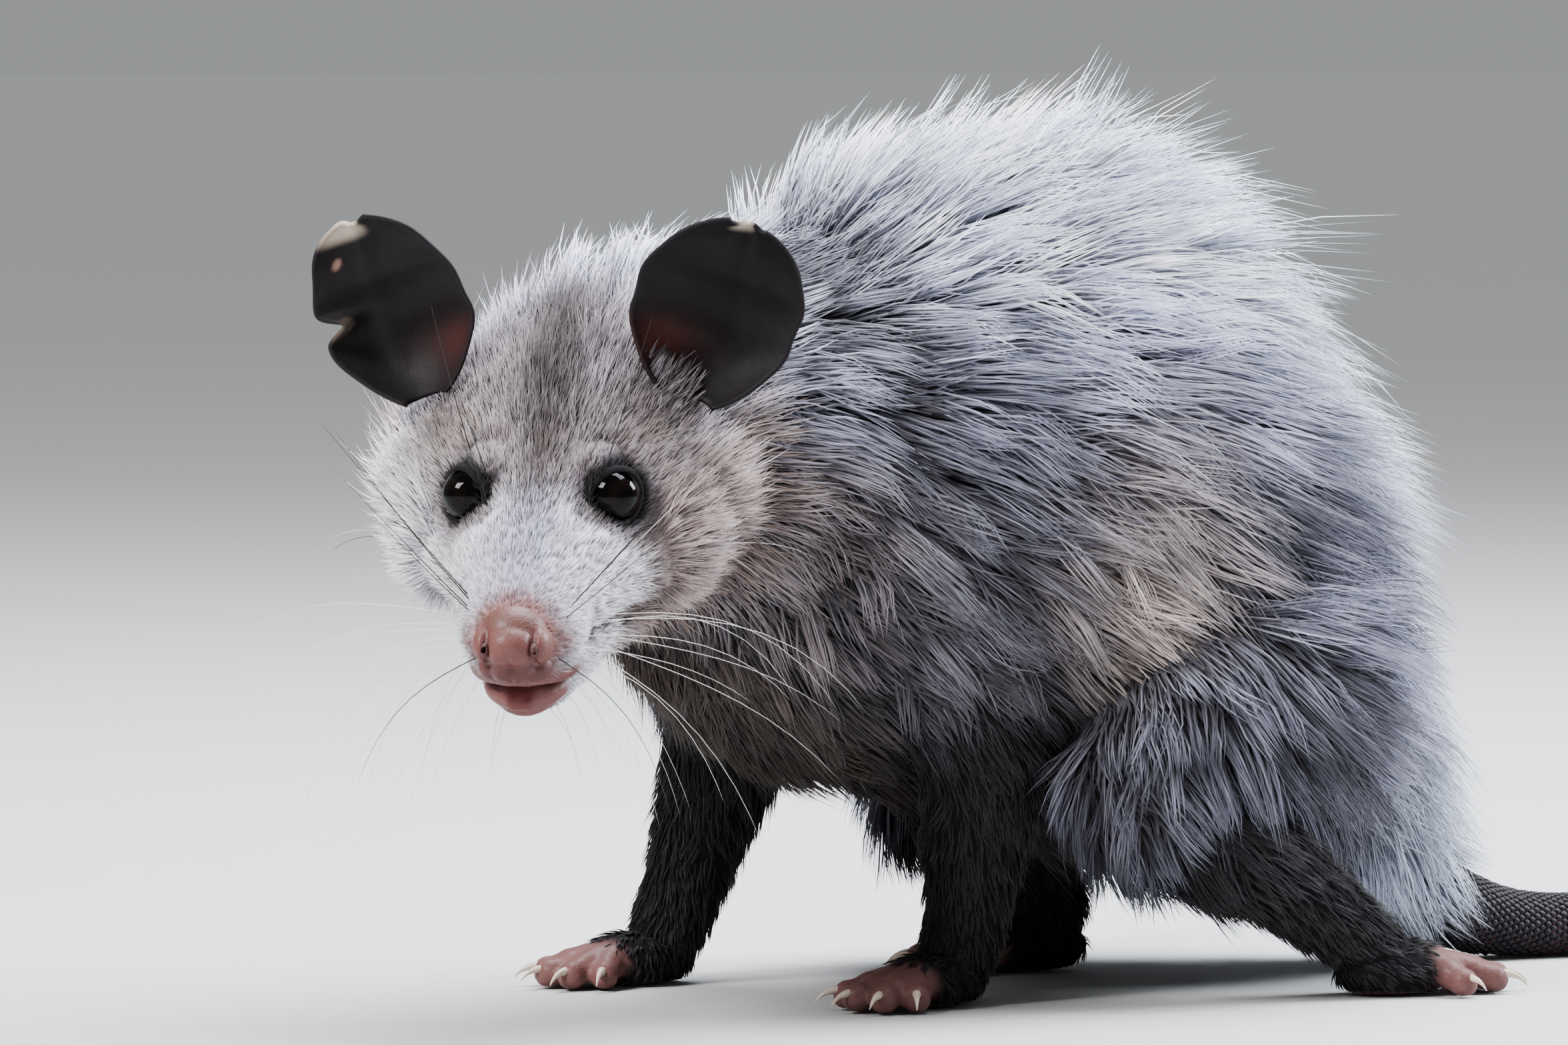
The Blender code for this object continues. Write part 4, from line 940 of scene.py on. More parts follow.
def ear_place(side, left, s, t):
    """A place on the cup: s from the inner to the outer margin, t up it."""
    base_x, base_y, base_z = EAR_BASES[side]
    axis = unit(HEAD_AXES @ (EAR_AXIS * (1.0, left, 1.0)))
    facing = HEAD_AXES @ (EAR_FACING * (1.0, left, 1.0))
    facing = unit(facing - axis * (facing @ axis))
    across = np.cross(axis, facing) * left
    widening = 0.28 + 0.72 * math.sin(math.pi / 2 * min(t / 0.42, 1.0)) ** 0.85
    rounding = math.sqrt(max(0.0, 1 - (max(0.0, t - 0.5) / 0.515) ** 2))
    waves = 0.022 * math.sin(9.0 * t + 2.0 * left) + 0.012 * math.sin(23.0 * t)
    half = EAR_HALF_WIDTH * widening * rounding * (1 + waves * abs(s))
    if side == "right" and s > 0:
        notch = NOTCH_DEPTH * math.exp(-(((t - NOTCH_HEIGHT) / 0.045) ** 2))
        lobe = 0.05 * ease(NOTCH_HEIGHT, NOTCH_HEIGHT - 0.06, t)
        half *= 1 - (notch + lobe) * ease(0.2, 1.0, s)
    curl = math.radians(EAR_CURL[0] + (EAR_CURL[1] - EAR_CURL[0]) * min(t * 1.5, 1.0))
    radius = half / math.sin(curl)
    back = radius * (math.cos(s * curl) - math.cos(curl))
    flare = EAR_LENGTH * (0.16 * t - 0.22 * t**2)
    rim = max(abs(s), t) ** 6
    folds = 0.035 * math.sin(19.0 * t + 1.5 * s) * (1 - rim) * math.sin(math.pi * min(t, 1.0))
    folds += 0.05 * bump(s - 0.42 + 0.3 * t, 0.12) * ease(0.1, 0.3, t)
    roll = 0.05 * rim * math.sin(7.0 * t + left)
    return (
        on_head(base_x, base_y * left, base_z)
        + axis * EAR_LENGTH * (t + 0.012 * math.sin(5.0 * s + left) * rim)
        + across * radius * math.sin(s * curl)
        - facing * (back + flare - (folds + roll) * CM * 1.4)
    )


for side, left in SIDES:
    work = bmesh.new()
    heights = [1 - (1 - i / EAR_ROWS) ** 1.5 for i in range(EAR_ROWS + 1)]
    sweeps = [-1 + 2 * j / EAR_COLUMNS for j in range(EAR_COLUMNS + 1)]
    grid = [[work.verts.new(ear_place(side, left, s, t)) for s in sweeps] for t in heights]
    for low, high in zip(grid, grid[1:]):
        for j in range(EAR_COLUMNS):
            work.faces.new((low[j], low[j + 1], high[j + 1], high[j]))
    ear = finished(f"ear_leather_{side}", work)
    glow_share, frost_middle, frost_size, torn = EAR_WEAR[side]
    s, t = np.tile(sweeps, len(heights)), np.repeat(heights, len(sweeps))
    colour = np.tile(np.array(EAR_BLACK), (len(s), 1))
    glow = bump(np.hypot((s + 0.50) * 0.9, (t - 0.22) * 3.4), 0.42)
    colour = mixed(colour, EAR_GLOW, glow * glow_share)
    frost = np.hypot(s - frost_middle, (t - 1.0) * 7.0)
    colour = mixed(colour, FROST, ease(frost_size + 0.22, frost_size - 0.25, frost))
    spot = np.hypot((s - 0.60) * 2.1 + (t - 0.80) * 2.0, (t - 0.80) * 5.0)
    colour = mixed(colour, FROST_SPOT, ease(0.2, 0.06, spot) * torn)
    scar = np.hypot((s - 0.92) * 2.4, (t - 0.475) * 9.0)
    paint(ear, "skin_tint", mixed(colour, SCAR, ease(0.5, 0.2, scar) * 0.6 * torn))
    shell = ear.modifiers.new("leather", "SOLIDIFY")
    shell.thickness = EAR_THICKNESS
    shell.offset = 0.0
    soften(ear, 2)
    dress(ear, ear_material, "ear_skin", f"ear_{side}")

# Coat. Long white guard hairs stand over a short dark woolly underfur; the face wears
# short velvet that lengthens to a ruff on the cheeks, and the legs are close and black.
# Each tuft is a thin three-sided blade, rooted in the skin and drawn into clumps.
SEED = 11
THIN = 1.0
GUARD_TUFTS, WOOL_TUFTS, RUFF_TUFTS, VELVET_TUFTS, LEG_TUFTS = 41500, 16500, 21000, 26500, 9500
ROOT_DEPTH, BLADE_DEPTH, LOWEST_HAIR = 0.0006, 0.42, 0.0006
# Size of a tuft's patch, and where each form lies, on the unwrap of the skin
PATCH = 0.003
MAP_PLACES = {
    "trunk": (0.02, 0.02, 0.58, 0.56),
    "neck": (0.02, 0.62, 0.24, 0.34),
    "skull": (0.30, 0.62, 0.34, 0.34),
    "jaw": (0.68, 0.80, 0.14, 0.16),
    "haunch_left": (0.64, 0.02, 0.16, 0.30),
    "haunch_right": (0.82, 0.02, 0.16, 0.30),
    "foreleg_left": (0.64, 0.36, 0.15, 0.20),
    "foreleg_right": (0.82, 0.36, 0.15, 0.20),
    "shank_left": (0.68, 0.60, 0.14, 0.16),
    "shank_right": (0.84, 0.60, 0.14, 0.16),
    "tail": (0.84, 0.80, 0.14, 0.16),
}
FACE_LENGTHS = ((-6.0, -4.2, -2.6, -1.0, 0.6, 2.0, 3.4, 4.6), (2.3, 1.8, 1.2, 0.85, 0.66, 0.56, 0.44, 0.28))
FACE_LIFTS = ((-5.0, -2.0, 0.0, 2.0, 4.0), (42.0, 32.0, 22.0, 20.0, 18.0))
JAW_LENGTHS = ((-3.0, -1.0, 1.0, 3.5), (1.6, 1.1, 0.6, 0.25))
FORELEG_LENGTHS = ((0.1, 0.35, 0.6, 1.0), (2.6, 1.5, 0.85, 0.6))
SHANK_LENGTHS = ((0.1, 0.45, 1.0), (2.2, 1.1, 0.6))
TAIL_LENGTHS = ((0.0, 0.08, 0.14, 1.0), (2.6, 1.4, 0.35, 0.2))
rng = np.random.default_rng(SEED)


def growth(points, normals, where):
    """Lie, length in metres and lift in radians of the hair at places on the skin."""
    x, y, z = in_head(points).T
    total, long, lift = np.zeros((len(points), 3)), np.zeros(len(points)), np.zeros(len(points))

    def add(weight, way, length, degrees):
        nonlocal total, long, lift
        total = total + unit(way) * weight[:, None]
        long = long + weight * length
        lift = lift + weight * np.radians(degrees)

    share, angle, weight = where["trunk"]
    top, under = np.clip(np.sin(angle), 0.0, 1.0), np.clip(-np.sin(angle), 0.0, 1.0)
    arch = np.sin(math.pi * np.clip(share, 0.02, 0.98))
    chest, rump = ease(0.12, 0.0, share), ease(0.72, 1.0, share)
    fall = 0.42 * (1 - top) * (1 - under) + 0.5 * rump + 1.4 * chest * (1 - top)
    way = forms["trunk"].way(share) - UP * fall[:, None]
    degrees = 24 + 28 * top * arch + 8 * top * ease(0.5, 0.2, share) - 6 * under + 8 * rump
    degrees = degrees + 16 * top * ease(0.45, 0.7, share)
    add(weight, way, 3.4 + 0.9 * top * arch - 1.3 * under - 0.9 * chest, degrees)
    share, angle, weight = where["neck"]
    top = np.clip(np.sin(angle), 0.0, 1.0)
    way = -forms["neck"].way(share) - UP * (0.3 * (1 - top))[:, None]
    add(weight, way, 2.4 + 0.5 * top, 26 + 9 * top)

    side = ease(0.45, 1.0, np.abs(np.cos(where["skull"][1])))
    cheek = side * ease(0.6, -1.2, x) * ease(1.2, -0.2, z)
    by_ear = bump(norm(np.stack([x + 2.6, np.abs(y) - 2.7, z - 1.2], axis=1)), 1.7)
    by_eye = ease(1.7, 0.9, eye_spread(points))
    way = unit(points - on_head(5.2, 0.0, -1.6))
    length = np.interp(x, *FACE_LENGTHS) * (1 + np.where(y > 0, 0.3, 0.8) * cheek)
    length = length * (1 - 0.7 * by_ear) * (1 - 0.55 * by_eye)
    degrees = np.interp(x, *FACE_LIFTS) + 6 * cheek - 14 * by_ear + 14 * by_eye
    add(where["skull"][2], way, length, degrees)
    add(where["jaw"][2], way - UP * 0.15, np.interp(x, *JAW_LENGTHS), 20.0)

    for side, _ in SIDES:
        share, angle, weight = where[f"haunch_{side}"]
        knee = ease(0.4, 0.75, share)[:, None]
        way = -forms[f"haunch_{side}"].way(share) * 0.8 * (1 - knee)
        way = way - UP * (0.75 + 0.5 * knee) + np.array((0.35, 0.0, 0.0)) * knee
        add(weight, way, 3.3 - 1.2 * ease(0.5, 1.0, share), 24 - 5 * ease(0.5, 1.0, share))
        share, angle, weight = where[f"foreleg_{side}"]
        way = forms[f"foreleg_{side}"].way(share) + np.array((0.3, 0.0, 0.0))
        add(weight, way, np.interp(share, *FORELEG_LENGTHS), 17.0)
        share, angle, weight = where[f"shank_{side}"]
        add(weight, forms[f"shank_{side}"].way(share), np.interp(share, *SHANK_LENGTHS), 17.0)
    share, angle, weight = where["tail"]
    add(weight, forms["tail"].way(share), np.interp(share, *TAIL_LENGTHS), 16.0)

    near_floor = ease(1.9, 0.9, points[:, 2] / CM)
    lie = unit(total - normals * (total * normals).sum(axis=1)[:, None])
    return lie, long * (1 - 0.3 * near_floor) * CM, lift


class Field:
    """Places drawn over the skin's triangles by a density, with all that grows there."""

    def __init__(self, count, density):
        triangles = skin.data.loop_triangles
        corners = np.zeros(len(triangles) * 3, np.int32)
        triangles.foreach_get("vertices", corners)
        corners = corners.reshape(-1, 3)
        a, b, c = (skin_places[corners[:, k]] for k in range(3))
        chance = norm(np.cross(b - a, c - a)) / 2 * density[corners].mean(axis=1)
        count = int(count * THIN)
        chosen = np.sort(rng.choice(len(chance), count, p=chance / chance.sum()))
        u, v = rng.random(count), rng.random(count)
        flip = u + v > 1
        u[flip], v[flip] = 1 - u[flip], 1 - v[flip]
        a, b, c = a[chosen], b[chosen], c[chosen]
        self.places = a + (b - a) * u[:, None] + (c - a) * v[:, None]
        weights = np.stack([1 - u - v, u, v], axis=1)
        self.normals = unit((skin_normals[corners[chosen]] * weights[:, :, None]).sum(axis=1))
        self.where = survey(self.places)
        self.tips, self.depth = markings(self.places, self.where)
        self.lie, self.length, self.lift = growth(self.places, self.normals, self.where)

    def clumps(self, each):
        """For every tuft the tuft at the middle of its clump."""
        middles = np.arange(0, len(self.places), each)
        rng.shuffle(middles)
        tree = KDTree(len(middles))
        for index in middles:
            tree.insert(self.places[index], int(index))
        tree.balance()
        return np.array([tree.find(place)[1] for place in self.places])


def swept(field, length, lift, steps, droop, jitter, clump, pull, wander):
    """Centre lines of the tufts: rooted, raised, bent over and drawn into clumps."""
    count = len(field.places)
    own = rng.normal(0.0, jitter, (count, 3))
    shared = rng.normal(0.0, wander, (count, 3))[clump]
    lie = unit(field.lie + own + shared)
    lie = unit(lie - field.normals * (lie * field.normals).sum(axis=1)[:, None])
    raised = lift * np.clip(rng.normal(1.0, 0.14, count), 0.6, 1.45)
    sunk = np.minimum(ROOT_DEPTH, 0.08 * length)[:, None]
    lines = [field.places - field.normals * sunk]
    drift = np.zeros((count, 3))
    for k in range(steps):
        share = (k + 0.5) / steps
        angle = raised * (1 - droop * share)
        way = lie * np.cos(angle)[:, None] + field.normals * np.sin(angle)[:, None]
        drift = drift + rng.normal(0.0, jitter * 0.7, (count, 3))
        way = unit(way - UP * (0.10 * share) + drift)
        lines.append(lines[-1] + way * (length / steps)[:, None])
    lines = np.stack(lines, axis=1)
    gather = (np.linspace(0.0, 1.0, steps + 1) ** 1.4 * pull)[None, :, None]
    offset = lines[clump] - lines
    limit = 0.55 * length[:, None, None]
    size = np.linalg.norm(offset, axis=2, keepdims=True)
    offset = offset * np.minimum(1.0, limit / np.maximum(size, 1e-9))
    return lines + offset * gather


def blade_faces(rings):
    """Triangles of one closed blade of three-cornered rings and a point."""
    faces = [(0, 2, 1)]
    for k in range(rings - 1):
        for j in range(3):
            a, b = 3 * k + j, 3 * k + (j + 1) % 3
            faces += [(a, b, b + 3), (a, b + 3, a + 3)]
    last = 3 * (rings - 1)
    faces += [(last + j, last + (j + 1) % 3, last + 3) for j in range(3)]
    return np.array(faces)


def root_spots(where):
    """Where each root lies on the unwrap of the skin's own forms."""
    names = list(where)
    home = np.stack([where[name][2] for name in names]).argmax(axis=0)
    spots = np.zeros((len(home), 2))
    for index, name in enumerate(names):
        u, v, wide, high = MAP_PLACES[name]
        share, angle = where[name][0], (where[name][1] / (2 * math.pi)) % 1.0
        spot = np.stack([u + share * wide, v + angle * high], axis=1)
        spots = np.where((home == index)[:, None], spot, spots)
    return spots


def tufts(name, lines, across_hint, widths, profile, tint_at, where, blade_depth=BLADE_DEPTH):
    """One closed mesh of tapered three-sided blades along the centre lines."""
    count, rings = lines.shape[0], lines.shape[1] - 1
    per = rings * 3 + 1
    places, tint, spots = np.zeros((count, per, 3)), np.zeros((count, per, 3)), np.zeros((count, per, 2))
    for k, share in enumerate(np.arange(rings) / rings):
        ahead = unit(lines[:, k + 1] - lines[:, max(k - 1, 0)])
        across = unit(np.cross(across_hint, ahead))
        up = np.cross(ahead, across)
        half = (widths * profile[k] / 2)[:, None]
        corners = (-across * half, up * half * 2 * blade_depth, across * half)
        for j, corner in enumerate(corners):
            places[:, 3 * k + j] = lines[:, k] + corner
            tint[:, 3 * k + j] = tint_at(share)
            spots[:, 3 * k + j] = (j * PATCH / 2, share * PATCH)
    places[:, -1], tint[:, -1], spots[:, -1] = lines[:, -1], tint_at(1.0), (PATCH / 2, PATCH)
    places[:, :, 2] = np.maximum(places[:, :, 2], LOWEST_HAIR)
    spots += root_spots(where)[:, None]
    corners = (blade_faces(rings)[None] + (np.arange(count) * per)[:, None, None]).reshape(-1)

    mesh = bpy.data.meshes.new(name)
    mesh.vertices.add(count * per)
    mesh.vertices.foreach_set("co", places.astype(np.float32).ravel())
    mesh.loops.add(len(corners))
    mesh.loops.foreach_set("vertex_index", corners.astype(np.int32))
    mesh.polygons.add(len(corners) // 3)
    mesh.polygons.foreach_set("loop_start", np.arange(0, len(corners), 3, dtype=np.int32))
    mesh.update(calc_edges=True)
    layer = mesh.uv_layers.new(name="OFBake")
    layer.data.foreach_set("uv", spots.reshape(-1, 2)[corners].astype(np.float32).ravel())
    made = placed(name, mesh)
    paint(made, "tuft_tint", tint.reshape(-1, 3))
    return made


coat_material, draw = new_material(
    "coat hair", Specular_IOR_Level=0.12, Sheen_Weight=0.06, Sheen_Roughness=0.5,
)
streak = draw.noise(900.0, 2.0)
drive(
    coat_material,
    Base_Color=draw.shaded("tuft_tint", streak, 0.82, 1.15),
    Roughness=0.58 + streak * 0.2,
)

skin.data.calc_loop_triangles()
skin_normals = vertex_normals(skin)
skin_length = growth(skin_places, skin_normals, skin_where)[1] / CM
eye_gap = eye_spread(skin_places)
furry = np.clip(1 - skin_bare * 1.3, 0.0, 1.0) * ease(0.74, 0.80, eye_gap)
on_face = ease(0.45, 0.55, head_share)
long_coat = ease(1.25, 1.75, skin_length) * (1 - on_face)
leg_coat = (1 - long_coat) * (1 - on_face)
ruff = ease(0.52, 0.70, skin_length)
velvet = furry * on_face * (1 - 0.7 * ruff) / np.clip(skin_length, 0.25, 1.0) ** 1.2
velvet *= 1 + ease(2.0, 1.2, eye_gap)


def layer(
    name, slot, count, density, pieces, root, band, profile, width, clump, pull, wander,
    jitter, grain, streaks, steps=2, long=1.0, raised=1.0, droop=0.5, dark=0.0, white=0.0,
    root_share=0.5,
):
    """Grows one layer of the coat and hands it on in pieces from head to rump."""
    field = Field(count, density)
    middle = field.clumps(clump)
    usual = field.length * long
    size = usual * np.clip(rng.normal(1.0, 0.16, len(usual)), 0.55, 1.5)
    wisp = rng.random(len(size)) > 0.94
    size = np.where(wisp, np.minimum(size * 1.35, 1.5 * usual), size)
    lines = swept(field, size, field.lift * raised, steps, droop, jitter, middle, pull, wander)
    luck = rng.random(len(size))
    uneven = 0.12 + streaks * field.depth
    light = rng.normal(0.0, grain, len(size)) + (rng.normal(0.0, 1.0, len(size)) * uneven)[middle]
    tips = field.tips * np.clip(np.exp(light), 0.45, 1.6)[:, None]
    tips = np.where((luck < dark)[:, None], tips * 0.35, tips)
    lift_to = np.clip(tips.mean(axis=1, keepdims=True) * 2.2, 0.1, 1.0) * (0.26, 0.26, 0.31)
    tips = np.where((luck > 1 - white)[:, None], tips * 0.6 + lift_to, tips)
    roots = mixed(field.tips * root_share, root, field.depth)
    share_of_length, least, most = width
    widths = np.clip(field.length * share_of_length, least, most)
    widths = widths * rng.uniform(0.75, 1.25, len(size))
    order = np.argsort(field.places[:, 0])
    for number, keep in enumerate(np.array_split(order, pieces)):
        where = {key: tuple(part[keep] for part in parts) for key, parts in field.where.items()}

        def tint_at(share, keep=keep):
            return roots[keep] + (tips[keep] - roots[keep]) * ease(*band, share)

        made = tufts(
            f"{name}_{number + 1}", lines[keep], field.normals[keep], widths[keep], profile,
            tint_at, where,
        )
        dress(made, coat_material, slot)


layer(
    "woolly_underfur", "grey_coat", WOOL_TUFTS, furry * long_coat, 2,
    root=(0.03, 0.026, 0.032), band=(0.4, 1.3), profile=(0.9, 0.8), width=(0.0, 0.0013, 0.0013),
    clump=12, pull=0.35, wander=0.2, jitter=0.16, grain=0.12, streaks=0.2, long=0.50,
    raised=1.15, dark=0.2,
)
layer(
    "guard_hair", "grey_coat", GUARD_TUFTS, furry * long_coat, 4,
    root=(0.035, 0.03, 0.037), band=(0.2, 0.7), profile=(0.8, 1.0, 0.6),
    width=(0.0, 0.00072, 0.00072), clump=20, pull=0.6, wander=0.2, jitter=0.11, grain=0.14,
    streaks=0.24, steps=3, dark=0.07, white=0.10,
)
layer(
    "ruff_fur", "face_fur", RUFF_TUFTS, furry * on_face * ruff, 2,
    root=(0.05, 0.04, 0.045), band=(0.1, 0.7), profile=(0.8, 1.0, 0.6),
    width=(0.028, 0.00028, 0.0005), clump=12, pull=0.34, wander=0.11, jitter=0.11, grain=0.16,
    streaks=0.15, steps=3, droop=0.6, dark=0.03, white=0.10,
)
# The face velvet is white; its darker roots are painted shade between the short hairs.
layer(
    "face_velvet", "face_fur", VELVET_TUFTS, velvet, 2,
    root=(0.10, 0.085, 0.09), band=(0.0, 0.8), profile=(1.0, 0.75), width=(0.055, 0.00022, 0.0004),
    clump=8, pull=0.4, wander=0.09, jitter=0.09, grain=0.2, streaks=0.15, droop=0.6, dark=0.03,
    white=0.10, root_share=0.35,
)
layer(
    "leg_fur", "leg_fur", LEG_TUFTS, furry * leg_coat, 1,
    root=(0.008, 0.007, 0.009), band=(0.2, 0.8), profile=(1.0, 0.8), width=(0.0, 0.0007, 0.0007),
    clump=8, pull=0.3, wander=0.15, jitter=0.12, grain=0.2, streaks=0.1,
)

# Whiskers. Stiff tapering bristles, most of them white, stand in rows on the lips, over
# the eyes and on the cheeks; a few on the muzzle are black.
# A row: its ends on the head, count, length, direction and share of black ones
WHISKER_ROWS = (
    ((3.9, 0.95, -1.65), (3.0, 1.45, -1.35), 4, 6.4, (0.05, 0.75, 0.62), 0.95),
    ((4.1, 0.98, -2.05), (2.7, 1.75, -1.95), 5, 7.4, (0.16, 1.0, -0.10), 0.1),
    ((4.1, 0.92, -2.35), (2.7, 1.70, -2.35), 5, 7.8, (0.16, 0.85, -0.50), 0.1),
    ((3.9, 0.85, -2.70), (2.5, 1.50, -2.70), 4, 6.2, (0.12, 0.6, -0.95), 0.1),
    ((3.4, 0.55, -4.05), (1.6, 0.90, -4.15), 4, 3.0, (0.10, 0.4, -1.0), 0.0),
    ((0.5, 1.30, 0.85), (-0.3, 1.80, 0.95), 2, 3.4, (0.0, 0.45, 1.0), 1.0),
    ((-0.6, 3.05, -1.6), (-1.4, 3.45, -1.9), 3, 4.6, (-0.3, 1.0, -0.2), 0.2),
)
WHISKER_STEPS = 9
BLACK_WHISKER, WHITE_WHISKER = ((0.02, 0.015, 0.015), 0.00033), ((0.74, 0.70, 0.68), 0.00021)
whisker_lines, whisker_kinds = [], []
for front, back, count, length, way, black in WHISKER_ROWS:
    for _, left in SIDES:
        for share in np.arange(count) / (count - 1):
            x, y, z = np.array(front) + (np.array(back) - np.array(front)) * share
            ahead, out, up = np.array(way) + rng.normal(0.0, 0.09, 3)
            aim = HEAD_AXES @ np.array((ahead - 0.35 * share, out * left, up))
            line = [on_head(x + rng.normal(0, 0.05), y * left * 0.94, z + rng.normal(0, 0.05))]
            long = length * CM * (0.75 + 0.35 * share) * rng.uniform(0.8, 1.08)
            sweep = rng.uniform(0.2, 0.5)
            droop = rng.uniform(0.8, 3.2) * (1 - black)
            for step in range(WHISKER_STEPS):
                t = (step + 0.5) / WHISKER_STEPS
                bend = aim - muzzle_way * (0.3 + sweep * t) - UP * droop * t * t
                line.append(line[-1] + unit(bend) * long / WHISKER_STEPS)
            whisker_lines.append(line)
            whisker_kinds.append(BLACK_WHISKER if rng.random() < black else WHITE_WHISKER)
whisker_lines = np.array(whisker_lines)
whisker_colours, whisker_widths = (np.array(part) for part in zip(*whisker_kinds))
whiskers = tufts(
    "whiskers", whisker_lines, np.tile(UP, (len(whisker_lines), 1)), whisker_widths,
    np.linspace(1.0, 0.35, WHISKER_STEPS), lambda share: whisker_colours,
    survey(whisker_lines[:, 0]), blade_depth=0.8,
)
dress(whiskers, coat_material, "face_fur")

# Claws. Twenty pale horn hooks, one at the tip of each digit. A tree bends, tapers and
# sets a hook on every point, with its back up and its point ahead.
CLAW_LENGTH, CLAW_RADIUS, CLAW_ROOT = 0.0058, 0.0013, (-0.0012, 0.0, 0.0)
claw_material, draw = new_material("horn claw", Coat_Weight=0.2, Coat_Roughness=0.3)
bands = draw.noise(700.0, 2.0)
drive(
    claw_material,
    Base_Color=draw.blend(bands, (0.40, 0.30, 0.24), (0.66, 0.56, 0.46)),
    Roughness=0.35 + bands * 0.15,
)


def set_on_points(name, places, facing, trail, sizes, shape, inputs):
    """Runs a tree that sets a shape on each point, turned and sized as the point says."""
    mesh = bpy.data.meshes.new(name)
    mesh.from_pydata(places.tolist(), [], [])
    for key, values in (("facing", facing), ("trail", trail)):
        column = mesh.attributes.new(key, "FLOAT_VECTOR", "POINT")
        column.data.foreach_set("vector", values.astype(np.float32).ravel())
    piece = placed(name, mesh)
    store(piece, "size", sizes)

    tree = bpy.data.node_groups.new(name, "GeometryNodeTree")
    tree.interface.new_socket("Geometry", in_out="INPUT", socket_type="NodeSocketGeometry")
    tree.interface.new_socket("Geometry", in_out="OUTPUT", socket_type="NodeSocketGeometry")
    identifiers = {}
    for label, value in inputs.items():
        kind = "NodeSocketFloat" if isinstance(value, float) else "NodeSocketMaterial"
        socket = tree.interface.new_socket(label, in_out="INPUT", socket_type=kind)
        identifiers[label] = socket.identifier
    draw = Signal(tree)
    asked = {label: draw.node("NodeGroupInput", output=label) for label in ("Geometry", *inputs)}

    def kept(label, kind):
        values = {"Name": label}
        return draw.node("GeometryNodeInputNamedAttribute", values, "Attribute", data_type=kind)

    align = "FunctionNodeAlignRotationToVector"
    turned = draw.node(align, {"Vector": kept("facing", "FLOAT_VECTOR")}, axis="Z")
    values = {"Rotation": turned, "Vector": kept("trail", "FLOAT_VECTOR")}
    turned = draw.node(align, values, axis="X", pivot_axis="Z")
    values = {
        "Points": asked["Geometry"], "Instance": shape(draw, asked), "Rotation": turned,
        "Scale": kept("size", "FLOAT"),
    }
    pieces = draw.node("GeometryNodeInstanceOnPoints", values)
    real = draw.node("GeometryNodeRealizeInstances", {"Geometry": pieces})
    values = {"Geometry": real, "Material": asked["Material"]}
    finish = draw.node("GeometryNodeSetMaterial", values)
    tree.links.new(finish.socket, tree.nodes.new("NodeGroupOutput").inputs["Geometry"])

    modifier = piece.modifiers.new(name, "NODES")
    modifier.node_group = tree
    for label, value in inputs.items():
        modifier[identifiers[label]] = value
    return bake_modifiers(piece)


def hooked_claw(draw, asked):
    length = asked["Length"]
    middle = draw.node("ShaderNodeCombineXYZ", {"X": length * 0.55, "Z": length * 0.10})
    end = draw.node("ShaderNodeCombineXYZ", {"X": length, "Z": length * -0.5})
    values = {"Resolution": 7, "Start": CLAW_ROOT, "Middle": middle, "End": end}
    hook = draw.node("GeometryNodeCurveQuadraticBezier", values)
    along = draw.node("GeometryNodeSplineParameter")
    thin = draw.node("ShaderNodeMapRange", {"Value": along, "To Min": 1.0, "To Max": 0.08})
    tapered = draw.node("GeometryNodeSetCurveRadius", {"Curve": hook, "Radius": thin})
    values = {"Resolution": 8, "Radius": asked["Radius"]}
    section = draw.node("GeometryNodeCurvePrimitiveCircle", values)
    values = {"Curve": tapered, "Profile Curve": section, "Scale": thin, "Fill Caps": True}
    return draw.node("GeometryNodeCurveToMesh", values)


digit_tips, digit_ways = np.array(digit_tips), np.array(digit_ways)
claws = set_on_points(
    "claws", digit_tips + digit_ways * 0.24 * CM + UP * 0.12 * CM,
    np.tile(UP, (len(digit_tips), 1)), digit_ways, rng.uniform(0.92, 1.08, len(digit_tips)),
    hooked_claw, {"Length": CLAW_LENGTH, "Radius": CLAW_RADIUS, "Material": claw_material},
)
keep_above(claws, SOLE_LEVEL)
dress(claws, claw_material, "bare_pink")

# Scales of the tail. Rings of small flat scales overlap like tiles all the way to the
# tip, black near the root, then slate, then pale flesh.
SCALE_PITCH, SCALE_START, LOWEST_SCALE, SCALE_FLOOR = 0.0017, 0.07, 0.0009, 0.0002
tail = forms["tail"]
count = int(norm(np.diff(tail.centre, axis=0)).sum() / SCALE_PITCH)
rows = []
for ring in range(int(count * SCALE_START), count):
    share = ring / count
    girth = 2 * math.pi * tail.at(tail.reach, np.array((share,))).mean()
    around = max(7, round(girth / (SCALE_PITCH * 1.15)))
    rows += [(share, 2 * math.pi * (k + 0.5 * (ring % 2)) / around) for k in range(around)]
shares, angles = np.array(rows).T
places = tail.points(shares, angles)
facing = unit(places - tail.at(tail.centre, shares))
kept = places[:, 2] > LOWEST_SCALE
shares, places, facing = shares[kept], places[kept], facing[kept]

scale_material, draw = new_material("tail scales", Specular_IOR_Level=0.2)
mottle = draw.noise(500.0, 3.0)
drive(
    scale_material,
    Base_Color=draw.shaded("skin_tint", mottle, 0.65, 1.35),
    Roughness=0.5 + mottle * 0.25,
)


def flat_scale(draw, asked):
    values = {"Radius": asked["Scale size"], "Subdivisions": 1}
    plate = draw.node("GeometryNodeMeshIcoSphere", values)
    tipped = (0.0, math.radians(-8.0), 0.0)
    values = {"Geometry": plate, "Scale": (0.72, 0.60, 0.22), "Rotation": tipped}
    return draw.node("GeometryNodeTransform", values)


